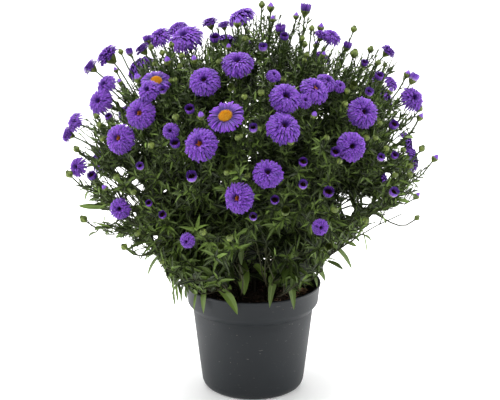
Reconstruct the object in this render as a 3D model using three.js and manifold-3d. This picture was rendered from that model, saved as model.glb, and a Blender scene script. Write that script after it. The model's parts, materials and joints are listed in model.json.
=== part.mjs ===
// Potted New York aster with double violet flower heads, in a round moulded nursery pot.
// Millimetres, +Z up. The origin is the middle of the pot's flat base and the front faces -Y.

import * as THREE from "three";
import { mergeVertices } from "three/addons/utils/BufferGeometryUtils.js";
import Module from "manifold-3d";

const wasm = await Module();
wasm.setup();

// Pot: outer sizes of a 14 cm pot with a stepped collar and a small lip
const POT_HEIGHT = 114;
const RIM_RADIUS = 70.5;
const LIP_HEIGHT = 2.6;
const LIP_STEP = 0.8;
const COLLAR_FOOT_Z = 95;
const COLLAR_FOOT_RADIUS = 68;
const NECK_Z = 86;
const NECK_RADIUS = 62.6;
const FOOT_Z = 9;
const FOOT_RADIUS = 53;
const BASE_RADIUS = 44;
const WALL = 1.6;
const FLOOR = 2;
const POT_SIDES = 28;
const DRAIN_HOLES = 6;
const DRAIN_RADIUS = 4.5;
const DRAIN_RING = 31;

// Soil: it fills the pot to just under the rim
const SOIL_TOP_Z = 103;
const SOIL_LUMP = 1.4;
const SEAT_GAP = 0.3;
const HOLE_RADIUS = 3.4;
const HOLE_DEPTH = 15;

// Crown: a ball of leafy stems that stands on the pot
const CROWN = new THREE.Vector3(0, 0, 218);
const HEAD_SHELL = 178;
const STEMS_ROUND = 7;
const STEM_RADIUS = 2.6;
const STALK_LENGTH = 42;
const MIDDLE_RADIUS = 13;
const MIDDLE_ANGLE = 15 * Math.PI / 180;
const STEM_GAP = 0.8;
const STEM_TURN = 12 * Math.PI / 180;
const BELOW_ALL = -10;
const ABOVE_ALL = 500;
const FORK_SHELL = 106;
const FORK_REACH = 24 * Math.PI / 180;
const FORK_MOST = 6;
const TWIG_RADIUS = 0.8;

// Viewpoint from which the front heads are set out: they are listed as across and up from the
// point on the pot's axis that it looks at
const VIEW_ELEVATION = 16.5 * Math.PI / 180;
const VIEW_DISTANCE = 2300;
const VIEW_AIM = new THREE.Vector3(0, 0, 202);

const UP = new THREE.Vector3(0, 0, 1);

const violet = new THREE.MeshStandardMaterial({ color: 0x7440c4, roughness: 0.6, metalness: 0 });
const discYellow = new THREE.MeshStandardMaterial({ color: 0xd09a22, roughness: 0.7, metalness: 0 });
const leafGreen = new THREE.MeshStandardMaterial({ color: 0x44622a, roughness: 0.6, metalness: 0 });
const potPlastic = new THREE.MeshStandardMaterial({ color: 0x3a3e40, roughness: 0.55, metalness: 0 });
const peat = new THREE.MeshStandardMaterial({ color: 0x2c2119, roughness: 0.95, metalness: 0 });

// Solids

function seeded(seed) {
  let state = seed;
  return () => {
    state = (state + 0x6d2b79f5) >>> 0;
    let mixed = state;
    mixed = Math.imul(mixed ^ (mixed >>> 15), mixed | 1);
    mixed ^= mixed + Math.imul(mixed ^ (mixed >>> 7), mixed | 61);
    return ((mixed ^ (mixed >>> 14)) >>> 0) / 4294967296;
  };
}

function signedVolume(position, triangles) {
  const a = new THREE.Vector3();
  const b = new THREE.Vector3();
  const c = new THREE.Vector3();
  let volume = 0;
  for (let i = 0; i < triangles.length; i += 3) {
    a.fromBufferAttribute(position, triangles[i]);
    b.fromBufferAttribute(position, triangles[i + 1]);
    c.fromBufferAttribute(position, triangles[i + 2]);
    volume += a.dot(b.cross(c)) / 6;
  }
  return volume;
}

// A closed geometry becomes a solid once its doubled points are one and its faces point out
function solidOf(geometry) {
  geometry.deleteAttribute("normal");
  geometry.deleteAttribute("uv");
  const merged = mergeVertices(geometry, 1e-4);
  const index = merged.index.array;
  const triangles = [];
  for (let i = 0; i < index.length; i += 3) {
    const [a, b, c] = [index[i], index[i + 1], index[i + 2]];
    if (a !== b && b !== c && c !== a) {
      triangles.push(a, b, c);
    }
  }
  if (signedVolume(merged.attributes.position, triangles) < 0) {
    triangles.reverse();
  }
  const mesh = new wasm.Mesh({
    numProp: 3,
    vertProperties: new Float32Array(merged.attributes.position.array),
    triVerts: new Uint32Array(triangles),
  });
  mesh.merge();
  return new wasm.Manifold(mesh);
}

// Joining can leave a loose scrap or a sealed hollow, so only the main body is kept, without the
// edges shorter than a fine grain
const GRAIN = 0.02;

function joined(solids) {
  const bodies = wasm.Manifold.union(solids).decompose();
  const main = bodies.reduce((largest, body) => (
    body.volume() > largest.volume() ? body : largest
  ));
  return main.simplify(GRAIN);
}

function meshOf(name, solid, material) {
  const { vertProperties, triVerts } = solid.getMesh();
  const geometry = new THREE.BufferGeometry();
  geometry.setAttribute("position", new THREE.BufferAttribute(new Float32Array(vertProperties), 3));
  geometry.setIndex(new THREE.BufferAttribute(new Uint32Array(triVerts), 1));
  const mesh = new THREE.Mesh(geometry, material);
  mesh.name = name;
  return mesh;
}

function lathe(points, sides) {
  return new THREE.LatheGeometry(points.map(([r, h]) => new THREE.Vector2(r, h)), sides);
}

// A turned shape stands on +Y as the lathe makes it; this stands it on +Z
function turned(points, sides) {
  return lathe(points, sides).rotateX(Math.PI / 2);
}

// A slender body along a curve, from [half width, share of the length] points: a stalk, twig or
// leaf. Its section has few sides, and flat is its thickness as a share of its width.
function along(curve, points, sides, flat, side) {
  return laid(lathe(points, sides), curve, flat, side);
}

// Lays an upright body of height 1 along a curve
function laid(geometry, curve, flat, side) {
  const position = geometry.attributes.position;
  const across = new THREE.Vector3();
  const through = new THREE.Vector3();
  for (let i = 0; i < position.count; i += 1) {
    const share = Math.min(Math.max(position.getY(i), 0), 1);
    const tangent = curve.getTangent(share);
    across.copy(side ?? UP).addScaledVector(tangent, -tangent.dot(side ?? UP)).normalize();
    through.crossVectors(tangent, across);
    const point = curve.getPoint(share)
      .addScaledVector(across, position.getX(i))
      .addScaledVector(through, position.getZ(i) * flat);
    position.setXYZ(i, point.x, point.y, point.z);
  }
  return geometry;
}

function bow(from, middle, to) {
  return new THREE.QuadraticBezierCurve3(from, middle, to);
}

// Pot

function potOuter() {
  return [
    [BASE_RADIUS, 0],
    [BASE_RADIUS + 5.4, 2.4],
    [FOOT_RADIUS, FOOT_Z],
    [NECK_RADIUS, NECK_Z],
    [COLLAR_FOOT_RADIUS - 0.6, COLLAR_FOOT_Z - 2],
    [COLLAR_FOOT_RADIUS, COLLAR_FOOT_Z],
    [RIM_RADIUS - LIP_STEP, POT_HEIGHT - LIP_HEIGHT],
    [RIM_RADIUS, POT_HEIGHT - LIP_HEIGHT + 0.6],
    [RIM_RADIUS, POT_HEIGHT - 0.5],
    [RIM_RADIUS - 0.6, POT_HEIGHT],
  ];
}

function potInner(gap) {
  return [
    [BASE_RADIUS - 1 - gap, FLOOR + gap],
    [FOOT_RADIUS - WALL - gap, FOOT_Z + 1.5],
    [NECK_RADIUS - WALL - gap, NECK_Z + 0.5],
    [COLLAR_FOOT_RADIUS - WALL - gap, COLLAR_FOOT_Z + 1],
  ];
}

function makePot() {
  const rimInner = [RIM_RADIUS - LIP_STEP - WALL, POT_HEIGHT];
  const wall = [...potOuter(), rimInner, ...potInner(0).reverse()];
  let pot = solidOf(turned([[0, 0], ...wall, [0, FLOOR]], POT_SIDES));
  for (let i = 0; i < DRAIN_HOLES; i += 1) {
    const angle = (i + 0.5) * 2 * Math.PI / DRAIN_HOLES;
    const hole = new THREE.CylinderGeometry(DRAIN_RADIUS, DRAIN_RADIUS, FLOOR * 4, 6)
      .rotateX(Math.PI / 2)
      .translate(DRAIN_RING * Math.cos(angle), DRAIN_RING * Math.sin(angle), 0);
    pot = pot.subtract(solidOf(hole));
  }
  return pot;
}

// Soil, with a low lumpy top and a plain hole for each stem

function makeSoil(feet) {
  const draw = seeded(5);
  const inner = potInner(SEAT_GAP);
  const shoulder = inner[inner.length - 1];
  const rings = [[shoulder[0] + 0.8, SOIL_TOP_Z], [38, SOIL_TOP_Z]];
  const points = [[0, inner[0][1]], ...inner, ...rings, [0, SOIL_TOP_Z]];
  const geometry = turned(points, POT_SIDES);
  const position = geometry.attributes.position;
  const lumps = Array.from({ length: POT_SIDES * points.length }, () => draw() - 0.5);
  for (let i = 0; i < position.count; i += 1) {
    const ring = i % points.length;
    const step = Math.floor(i / points.length) % POT_SIDES;
    if (ring > inner.length && ring < points.length - 1) {
      position.setZ(i, position.getZ(i) + SOIL_LUMP * lumps[ring * POT_SIDES + step]);
    }
  }
  let soil = solidOf(geometry);
  for (const foot of feet) {
    const hole = new THREE.CylinderGeometry(HOLE_RADIUS, HOLE_RADIUS, 2 * HOLE_DEPTH, 6)
      .rotateX(Math.PI / 2)
      .translate(foot.x, foot.y, SOIL_TOP_Z);
    soil = soil.subtract(solidOf(hole));
  }
  return soil;
}

// Where the heads sit

const VIEW_BACK = new THREE.Vector3(0, -Math.cos(VIEW_ELEVATION), Math.sin(VIEW_ELEVATION));
const VIEW_RIGHT = new THREE.Vector3(1, 0, 0);
const VIEW_UP = new THREE.Vector3(0, Math.sin(VIEW_ELEVATION), Math.cos(VIEW_ELEVATION));
const VIEW_EYE = VIEW_AIM.clone().addScaledVector(VIEW_BACK, VIEW_DISTANCE);

// A head seen at across and up lies where that line of sight meets the shell of heads, or comes
// nearest to the crown's middle where it passes outside; lift moves it towards the viewer
function seat(across, up, lift = 0) {
  const target = VIEW_AIM.clone().addScaledVector(VIEW_RIGHT, across).addScaledVector(VIEW_UP, up);
  const sight = target.sub(VIEW_EYE).normalize();
  const toCrown = CROWN.clone().sub(VIEW_EYE);
  const nearest = sight.dot(toCrown);
  const miss2 = toCrown.lengthSq() - nearest * nearest;
  const inward = Math.sqrt(Math.max(HEAD_SHELL * HEAD_SHELL - miss2, 0));
  return VIEW_EYE.clone().addScaledVector(sight, nearest - inward - lift);
}

function outward(point) {
  return point.clone().sub(CROWN).normalize();
}

// Facing of a head that leans by tilt from the line of sight, towards lean in the view plane
function facing(point, tilt, lean) {
  const toEye = VIEW_EYE.clone().sub(point).normalize();
  const seen = point.clone().sub(CROWN);
  const angle = lean ?? Math.atan2(seen.dot(VIEW_UP), seen.dot(VIEW_RIGHT));
  const aside = VIEW_RIGHT.clone().multiplyScalar(Math.cos(angle))
    .addScaledVector(VIEW_UP, Math.sin(angle));
  return toEye.multiplyScalar(Math.cos(tilt)).addScaledVector(aside, Math.sin(tilt)).normalize();
}

// Open blooms at the front, a row for each node, [across, up, diameter, tilt, lift, lean]: the
// blooms of one row touch and grow as one cluster
const FRONT_BLOOMS = [
  [[-166, 136, 18, 82, -12]],
  [[-148, 147, 26, 78]],
  [[-113, 154, 17, 88]],
  [[-77, 176, 22, 62], [-67, 163, 37, 47]],
  [[-44, 181, 17, 82]],
  [[-12, 188, 29, 58]],
  [[-16, 140, 32, 45]],
  [[-50, 122, 31, 30]],
  [[-107, 111, 23, 35], [-100, 126, 31, 44]],
  [[-151, 118, 24, 50, 12], [-157, 101, 28, 40]],
  [[-183, 80, 22, 65], [-189, 67, 17, 75]],
  [[-116, 89, 31, 25]],
  [[-180, 34, 22, 40]],
  [[-137, -9, 22, 15]],
  [[-68, -42, 16, 30]],
  [[-85, 71, 17, 15]],
  [[-54, 57, 34, 28]],
  [[-28, 85, 37, 38]],
  [[-15, 2, 31, 30, 0, Math.PI]],
  [[15, 27, 30, 28, 0, Math.PI / 2]],
  [[31, 74, 35, 40]],
  [[33, 105, 32, 32], [57, 101, 16, 34], [64, 114, 30, 46], [80, 124, 22, 52], [92, 116, 14, 36]],
  [[21, 128, 15, 42]],
  [[70, 168, 15, 75], [87, 167, 22, 58]],
  [[113, 90, 32, 28]],
  [[101, 55, 30, 18]],
  [[164, 104, 27, 40]],
  [[142, 120, 17, 70]],
  [[138, 152, 17, 80]],
  [[69, -28, 17, 20]],
];

// Three more open blooms at the front that touch no other
const LONE_BLOOMS = [
  [[-96, 167, 27, 60, -8]],
  [[-137, 63, 31, 33]],
  [[-30, 179, 13, 80, -5]],
];

// Half-open heads at the front, [across, up, width]
const FRONT_CUPS = [
  [-127, 152, 8], [-39, 165, 11], [32, 167, 9], [10, 156, 9], [114, 140, 8], [129, 126, 10],
  [119, 110, 9], [97, 158, 9], [-109, 165, 9], [-93, 112, 8], [-65, 92, 10], [-80, 57, 10],
  [0, 73, 9], [84, 48, 10], [51, 38, 9], [51, 15, 9], [77, 7, 11], [22, -1, 9], [0, -18, 8],
  [33, -12, 9], [-23, 32, 8], [-63, 23, 11], [-93, -16, 8], [-107, -4, 7], [-116, 34, 8],
  [-165, 24, 10], [144, 76, 10], [144, 7, 10], [-33, -49, 7], [77, -49, 8], [131, 43, 8],
  [145, 45, 8], [-148, 85, 8], [165, 125, 11], [54, 196, 12], [28, 175, 11],
];

// Closed buds at the front, [across, up, width]
const FRONT_BUDS = [
  [-16, 178, 9], [18, 194, 9], [72, 147, 6], [-60, 141, 8], [-87, 139, 9], [-117, 121, 10],
  [38, 57, 8], [157, 126, 8], [185, 40, 8], [-151, 10, 7], [44, 186, 7],
  [-136, 151, 6], [-8, 164, 7], [103, 173, 7], [103, 147, 9], [120, 152, 7],
  [8, 108, 7], [-104, 54, 7], [116, 62, 7], [171, 92, 7], [173, 51, 7],
  [161, 33, 7], [-187, 24, 8], [-180, 50, 7], [-139, 21, 7], [-172, -22, 8], [-131, -50, 7],
  [-93, -65, 5], [-51, -35, 7], [-24, -41, 7], [83, -12, 7], [115, -23, 7],
];

// Directions spread evenly over the whole crown by the golden angle, from the top down
function spread(count, turn) {
  const golden = Math.PI * (3 - Math.sqrt(5));
  return Array.from({ length: count }, (unused, i) => {
    const height = 1 - 2 * (i + 0.5) / count;
    const ring = Math.sqrt(1 - height * height);
    const angle = i * golden + turn;
    return new THREE.Vector3(ring * Math.cos(angle), ring * Math.sin(angle), height);
  });
}

// The side away from the viewpoint, above the lowest heads
function isBehind(direction) {
  return direction.dot(VIEW_BACK) < -0.2 && direction.z > -0.26;
}

// Blooms behind: sites spread evenly, with one to three blooms to a site
const CLUSTER_REACH = 0.38;
const SITES = 74;
const BACK_SIZES = [[30, 24], [33], [26, 18, 22], [31], [28, 20], [22], [34, 26], [17], [24, 30]];

function backBlooms() {
  const draw = seeded(21);
  const sites = spread(SITES, 0.4).filter(isBehind);
  return sites.map((direction, i) => {
    const sizes = BACK_SIZES[i % BACK_SIZES.length];
    const aside = new THREE.Vector3().crossVectors(direction, UP).normalize();
    const start = draw() * Math.PI;
    return sizes.map((size, k) => {
      const reach = k === 0 ? 0 : CLUSTER_REACH * (sizes[0] + size);
      const place = direction.clone()
        .addScaledVector(aside.clone().applyAxisAngle(direction, start + k * 2.2), reach / HEAD_SHELL)
        .normalize();
      const lean = new THREE.Vector3(draw() - 0.5, draw() - 0.5, draw() * 0.6);
      return {
        at: CROWN.clone().addScaledVector(place, HEAD_SHELL - 4),
        face: place.clone().addScaledVector(lean, 0.3).normalize(),
        size,
      };
    });
  });
}

// The blooms of a cluster meet at their rims: each moves along its line of sight until it is level
// with the one before, and then no further off than their petals reach
const RIM_REACH = 0.4;

function drawTogether(row) {
  for (let i = 1; i < row.length; i += 1) {
    const level = row[i].face.clone().add(row[i - 1].face).normalize();
    const sight = row[i].at.clone().sub(VIEW_EYE).normalize();
    const step = row[i].at.clone().sub(row[i - 1].at);
    step.addScaledVector(sight, -step.dot(level) / sight.dot(level));
    const most = RIM_REACH * (row[i].size + row[i - 1].size);
    row[i].at = row[i - 1].at.clone().add(step.clampLength(0, most));
  }
  return row;
}

function frontBlooms(rows) {
  return rows.map((row) => drawTogether(row.map(([across, up, size, tilt, lift, lean]) => {
    const at = seat(across, up, lift);
    return { at, face: facing(at, tilt * Math.PI / 180, lean), size };
  })));
}

// Half-open heads and buds look outward and a little up; some more stand behind
const LOOK_UP = 0.25;

function smallHeads(front, behindCount, turn, behindSize) {
  const heads = front.map(([across, up, size]) => {
    const at = seat(across, up);
    return { at, face: outward(at).addScaledVector(UP, LOOK_UP).normalize(), size };
  });
  for (const direction of spread(behindCount, turn).filter(isBehind)) {
    heads.push({
      at: CROWN.clone().addScaledVector(direction, HEAD_SHELL),
      face: direction.clone().addScaledVector(UP, LOOK_UP).normalize(),
      size: behindSize,
    });
  }
  return heads;
}

// Blooms: layers of petals round a sunken eye. Each ring of points runs from petal tip to notch,
// given for a bloom of radius 1 as [tip radius, tip height, notch radius, notch height].

const FULL_RINGS = [[1, 0.1, 0.8, 0.17], [0.7, 0.36, 0.54, 0.27], [0.4, 0.47, 0.3, 0.34]];
const SMALL_RINGS = [[1, 0.14, 0.76, 0.2], [0.58, 0.46, 0.42, 0.32]];
const SINGLE_RINGS = [[1, 0.12, 0.74, 0.16], [0.4, 0.17, 0.36, 0.15]];
const EYE_HEIGHT = 0.2;
const SINGLE_EYE_HEIGHT = 0.13;
const FULL_BLOOM = 28;

function turnTo(geometry, direction, spin) {
  const turn = new THREE.Quaternion().setFromUnitVectors(UP, direction);
  return geometry.rotateZ(spin).applyQuaternion(turn);
}

function rosette({ at, face, size, single }, spin) {
  const radius = size / 2;
  const full = size >= FULL_BLOOM;
  const rings = single ? SINGLE_RINGS : full ? FULL_RINGS : SMALL_RINGS;
  const eye = single ? SINGLE_EYE_HEIGHT : EYE_HEIGHT;
  const petals = full ? 9 : 8;
  const points = [[0, 0], ...rings.map(([r, h]) => [r, h]), [0, eye]];
  const geometry = turned(points, 2 * petals);
  const position = geometry.attributes.position;
  for (let i = 0; i < position.count; i += 1) {
    const ring = i % points.length;
    const step = Math.floor(i / points.length);
    if (ring > 0 && ring <= rings.length && (step + ring) % 2 === 0) {
      const [tipRadius, , notchRadius, notchHeight] = rings[ring - 1];
      const pull = notchRadius / tipRadius;
      position.setXYZ(i, position.getX(i) * pull, position.getY(i) * pull, notchHeight);
    }
  }
  geometry.scale(radius, radius, radius);
  return solidOf(turnTo(geometry, face, spin).translate(at.x, at.y, at.z));
}

const blooms = [...frontBlooms(FRONT_BLOOMS), ...backBlooms(), ...frontBlooms(LONE_BLOOMS)];

// The two blooms that show a yellow disc, by row and place in the row
const singles = [[8, 1], [17, 0]].map(([row, place]) => blooms[row][place]);
singles.forEach((bloom) => {
  bloom.single = true;
});

const bloomSolids = blooms.map((row, k) => (
  joined(row.map((bloom, i) => rosette(bloom, 0.7 * (k + i))))
));

// Yellow discs of the two flowers that show one: low domes seated in the petals

const DISC_SHARE = 0.33;

function disc({ at, face, size }) {
  const radius = DISC_SHARE * size / 2;
  const height = SINGLE_RINGS[1][1] * size / 2 + SEAT_GAP;
  const points = [[0, 0], [radius, 0], [0.8 * radius, 0.35 * radius], [0, 0.5 * radius]];
  const base = at.clone().addScaledVector(face, height);
  return solidOf(turnTo(turned(points, 12), face, 0).translate(base.x, base.y, base.z));
}

// Core of the crown: the dense inner leaves. It is cut into one share for each stem, and then
// each facet of its outside is drawn out to a leaf tip.

const CORE_SIDES = 28;
const CORE_UNEVEN = 0.12;
const CORE_EVEN_RINGS = 3;
const CORE_PROFILE = [
  [0, 108], [46, 109], [66, 124], [92, 152], [114, 196], [118, 240], [106, 286], [76, 328],
  [30, 353], [0, 358],
];

// The outside is uneven, but flat where it sits over the pot
function makeCore() {
  const draw = seeded(4);
  const geometry = turned(CORE_PROFILE, CORE_SIDES).rotateZ(STEM_TURN + Math.PI / 2);
  const position = geometry.attributes.position;
  const rings = CORE_PROFILE.length;
  const shifts = Array.from({ length: CORE_SIDES * rings }, () => [draw() - 0.5, draw() - 0.5]);
  for (let i = 0; i < position.count; i += 1) {
    const ring = i % rings;
    const [out, rise] = shifts[ring * CORE_SIDES + (Math.floor(i / rings) % CORE_SIDES)];
    if (ring >= CORE_EVEN_RINGS && ring < rings - 1) {
      const swell = 1 + CORE_UNEVEN * out;
      const height = position.getZ(i) + CORE_UNEVEN * CORE_PROFILE[ring][0] * rise;
      position.setXYZ(i, position.getX(i) * swell, position.getY(i) * swell, height);
    }
  }
  return solidOf(geometry);
}

// Leaf tips on the core: how far they reach out, how much of that they rise or droop, below which
// height they droop and below which there are none, and the smallest facet that bears one
const CORE_LEAF_OUT = 20;
const CORE_LEAF_RISE = 0.5;
const CORE_LEAF_DROOP = -0.2;
const CORE_LEAF_ASIDE = 0.6;
const CORE_DROOP_Z = 165;
const CORE_BARE_Z = 125;
const CORE_LEAF_AREA = 40;

// No tip grows within this distance of a fork, of the crown's middle or of the rim of a bloom
const FORK_ROOM = 23;
const MIDDLE_ROOM = 60;
const BLOOM_ROOM = 3;

function leafyOutside(solid, draw, forks) {
  const { vertProperties, triVerts } = solid.getMesh();
  const points = Array.from(vertProperties);
  const triangles = [];
  for (let i = 0; i < triVerts.length; i += 3) {
    const corners = Array.from(triVerts.slice(i, i + 3));
    const [a, b, c] = corners.map((corner) => new THREE.Vector3().fromArray(points, 3 * corner));
    const tip = a.clone().add(b).add(c).divideScalar(3);
    const shift = CORE_LEAF_ASIDE * ([a, b, c][Math.floor(3 * draw())].z - tip.z);
    const face = b.sub(a).cross(c.sub(a));
    const area = face.length() / 2;
    face.normalize();
    const isOuter = tip.distanceTo(CROWN) > MIDDLE_ROOM && face.dot(outward(tip)) > 0.6;
    const isLeaf = isOuter && area > CORE_LEAF_AREA && tip.z > CORE_BARE_Z;
    const byFork = forks.some(({ at }) => at.distanceTo(tip) < FORK_ROOM);
    const reach = CORE_LEAF_OUT * (0.7 + 0.7 * draw());
    tip.addScaledVector(face, reach);
    tip.z += shift + reach * (tip.z > CORE_DROOP_Z ? CORE_LEAF_RISE : CORE_LEAF_DROOP);
    const byBloom = blooms.flat().some(({ at, size }) => at.distanceTo(tip) < size / 2 + BLOOM_ROOM);
    if (!isLeaf || byFork || byBloom) {
      triangles.push(...corners);
      continue;
    }
    const added = points.length / 3;
    points.push(tip.x, tip.y, tip.z);
    corners.forEach((corner, k) => triangles.push(corner, corners[(k + 1) % 3], added));
  }
  const leafy = new THREE.BufferGeometry();
  leafy.setAttribute("position", new THREE.BufferAttribute(new Float32Array(points), 3));
  leafy.setIndex(triangles);
  return solidOf(leafy);
}

function stemAngle(k) {
  return STEM_TURN + (k + 0.5) * 2 * Math.PI / STEMS_ROUND;
}

// The middle stem has a column up the axis that opens into a cone from the crown's middle
function middleColumn(gap) {
  const radius = MIDDLE_RADIUS + gap;
  const opens = CROWN.z + radius / Math.tan(MIDDLE_ANGLE);
  const wide = (ABOVE_ALL - CROWN.z) * Math.tan(MIDDLE_ANGLE) + gap;
  const outline = [[radius, BELOW_ALL], [radius, opens], [wide, ABOVE_ALL]];
  return solidOf(turned([[0, BELOW_ALL], ...outline, [0, ABOVE_ALL]], 14));
}

// The space that belongs to stem k: a sector for each outer stem, the column for the last
function shareOf(k) {
  if (k === STEMS_ROUND) {
    return middleColumn(-STEM_GAP / 2);
  }
  const half = Math.PI / STEMS_ROUND;
  const middle = stemAngle(k);
  const shift = STEM_GAP / 2 / Math.sin(half);
  const shape = new THREE.Shape();
  for (let i = 0; i <= 2; i += 1) {
    const angle = middle + (i - 1) * half;
    shape.lineTo(ABOVE_ALL * Math.cos(angle), ABOVE_ALL * Math.sin(angle));
  }
  shape.lineTo(0, 0);
  const sector = new THREE.ExtrudeGeometry(shape, { depth: ABOVE_ALL, bevelEnabled: false })
    .translate(shift * Math.cos(middle), shift * Math.sin(middle), 0);
  return solidOf(sector).subtract(middleColumn(STEM_GAP / 2));
}

function stemOf(point) {
  if (outward(point).angleTo(UP) < MIDDLE_ANGLE) {
    return STEMS_ROUND;
  }
  const turn = (Math.atan2(point.y, point.x) - STEM_TURN) / (2 * Math.PI);
  return Math.floor(((turn + 2) % 1) * STEMS_ROUND);
}

function atPolar(radius, angle, height) {
  return new THREE.Vector3(radius * Math.cos(angle), radius * Math.sin(angle), height);
}

// A stem stands upright in its hole in the soil and ends inside its share of the core
function stalkOf(k) {
  const reach = k === STEMS_ROUND ? 0 : 24 + 4 * (k % 3);
  const bottom = SOIL_TOP_Z - HOLE_DEPTH + SEAT_GAP;
  return new THREE.LineCurve3(
    atPolar(reach, stemAngle(k), bottom),
    atPolar(reach, stemAngle(k), bottom + STALK_LENGTH),
  );
}

// Heads that lie close together hang on one fork, which lies just inside the core
function forksOf(heads) {
  const forks = [];
  for (const head of heads) {
    const direction = outward(head.at);
    let fork = forks.find((each) => (
      each.heads.length < FORK_MOST && each.first.angleTo(direction) < FORK_REACH
    ));
    if (!fork) {
      fork = { first: direction, heads: [] };
      forks.push(fork);
    }
    fork.heads.push(head);
  }
  for (const fork of forks) {
    const middle = new THREE.Vector3();
    fork.heads.forEach((head) => middle.add(outward(head.at)));
    fork.at = CROWN.clone().addScaledVector(middle.normalize(), FORK_SHELL);
  }
  return forks;
}

// Pieces of the leafy stems

const LEAF_THICK = 0.95;
const CLEARANCE = 0.5;
const LEAF_OUTLINE = [[0.7, 0.25], [1, 0.6]];

// A lance-shaped blade with a keel below. Extra makes the fatter body that has to be clear of
// the neighbours.
function blade({ curve, width, side }, extra = 0) {
  const half = (width + extra) / Math.sqrt(3);
  const flat = (LEAF_THICK + extra) / (1.5 * half);
  const rings = LEAF_OUTLINE.map(([share, at]) => [share * half, at]);
  return solidOf(along(curve, [[0, 0], ...rings, [0, 1]], 3, flat, side));
}

// Outline of each kind of head at the end of its twig, as [radius, distance from the end]: the
// green cup of bracts under an open bloom, a half-open head with its hollow, a closed bud
const HEAD_OUTLINES = {
  bloom: (size) => [[TWIG_RADIUS, 2 + size / 6], [1.4 + size / 12, 0], [0, 0]],
  cup: (size) => [[TWIG_RADIUS, 0.95 * size], [0.5 * size, 0], [0, 0.3 * size]],
  bud: (size) => [[TWIG_RADIUS, 1.1 * size], [0.5 * size, 0.5 * size], [0, 0]],
};
const HEAD_SEATS = { bloom: -0.36, cup: 0, bud: 0 };
const END_SHARE = 0.42;
const TWIG_SPREAD = 0.35;

function twigWays(fork, head, leafy) {
  const ownWay = outward(fork).lerp(outward(head.at), TWIG_SPREAD).normalize();
  const from = CROWN.clone().addScaledVector(ownWay, FORK_SHELL);
  const to = head.at.clone().addScaledVector(head.face, HEAD_SEATS[head.kind]);
  const length = from.distanceTo(to);
  const before = to.clone().addScaledVector(head.face, -END_SHARE * length);
  const forward = to.clone().sub(from).normalize();
  const start = from.clone().addScaledVector(forward, 0.3 * length);
  const aside = new THREE.Vector3().crossVectors(forward, UP).normalize();
  const straight = new THREE.CubicBezierCurve3(from, start, before, to);
  const ways = [0, 1, 2, 3].map((turn) => (
    { curve: straight, side: aside.clone().applyAxisAngle(forward, turn * Math.PI / 4), leafy }
  ));
  ways.push({ curve: straight, side: aside, leafy: false });
  for (const reach of [0.25, 0.5, 0.8]) {
    for (let turn = 0; turn < 6; turn += 1) {
      const bend = aside.clone().applyAxisAngle(forward, turn * Math.PI / 3);
      const bent = start.clone().addScaledVector(bend, reach * length);
      ways.push({ curve: new THREE.CubicBezierCurve3(from, bent, before, to), side: aside });
    }
  }
  return ways;
}

// Share of the curve at which a twig's root is at its full thickness
const TWIG_ROOT = 0.04;

// Pair of leaves on a twig: the shares of its length between which they root, and how far their
// tips reach out from it and on along it
const PAIR_FROM = 0.4;
const PAIR_AT = 0.44;
const PAIR_TO = 0.49;
const PAIR_OUT = 13;
const PAIR_ON = 11;

// A twig, its pair of leaves and its head in one piece. Every other point of the ring of leaves
// is drawn out to a leaf's tip.
function sprig({ curve, side, leafy }, head, extra = 0) {
  const speed = 3 * curve.v3.distanceTo(curve.v2);
  const end = HEAD_OUTLINES[head.kind](head.size).map(([r, back]) => [
    r > 0 ? r + extra : 0,
    1 - back / speed,
  ]);
  const twig = TWIG_RADIUS + extra;
  const pair = leafy ? [[twig, PAIR_FROM], [twig, PAIR_AT], [twig, PAIR_TO]] : [];
  const points = [[0, 0], [twig, TWIG_ROOT], ...pair, ...end];
  const geometry = lathe(points, 4);
  const position = geometry.attributes.position;
  for (let i = 0; i < position.count; i += 1) {
    if (leafy && i % points.length === 3 && Math.floor(i / points.length) % 2 === 0) {
      const reach = (PAIR_OUT + extra) / twig;
      const on = PAIR_AT + (PAIR_ON + extra) / curve.getLength();
      position.setXYZ(i, position.getX(i) * reach, on, position.getZ(i) * reach);
    }
  }
  return solidOf(laid(geometry, curve, 1, side));
}

function boxesMeet(a, b) {
  return [0, 1, 2].every((axis) => a.min[axis] < b.max[axis] && b.min[axis] < a.max[axis]);
}

// Everything placed so far, with the stem that it belongs to; blooms belong to none
const placed = [];

function place(solid, owner) {
  placed.push({ solid, owner, box: solid.boundingBox() });
  return solid;
}

function isClear(solid, owner) {
  const box = solid.boundingBox();
  return placed.every((other) => (
    other.owner === owner || !boxesMeet(box, other.box) || solid.intersect(other.solid).isEmpty()
  ));
}

const coreSolid = makeCore();
const discs = singles.map(disc);
bloomSolids.forEach((solid) => place(solid, "bloom"));
discs.forEach((solid) => place(solid, "disc"));

const heads = [
  ...blooms.flat().map((head) => ({ ...head, kind: "bloom" })),
  ...smallHeads(FRONT_CUPS, 32, 1.9, 9).map((head) => ({ ...head, kind: "cup" })),
  ...smallHeads(FRONT_BUDS, 50, 0.8, 7).map((head) => ({ ...head, kind: "bud" })),
];

const stems = Array.from({ length: STEMS_ROUND + 1 }, (unused, index) => {
  const forks = forksOf(heads.filter(({ at }) => stemOf(at) === index));
  const core = leafyOutside(coreSolid.intersect(shareOf(index)), seeded(60 + index), forks);
  const outline = [[0, 0], [STEM_RADIUS, 0], [0.8 * STEM_RADIUS, 1], [0, 1]];
  const stalk = solidOf(along(stalkOf(index), outline, 6, 1, new THREE.Vector3(1, 0, 0)));
  return { index, forks, solids: [place(core, index), place(stalk, index)] };
});

// Twigs leave straight, or bow aside where a neighbour is in the way; a head with no clear way is
// left off
for (const stem of stems) {
  for (const fork of stem.forks) {
    for (const head of fork.heads) {
      const way = twigWays(fork.at, head, head.kind === "bloom").find((each) => (
        isClear(sprig(each, head, CLEARANCE), stem.index)
      ));
      if (way) {
        stem.solids.push(place(sprig(way, head), stem.index));
      }
    }
  }
}

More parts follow.
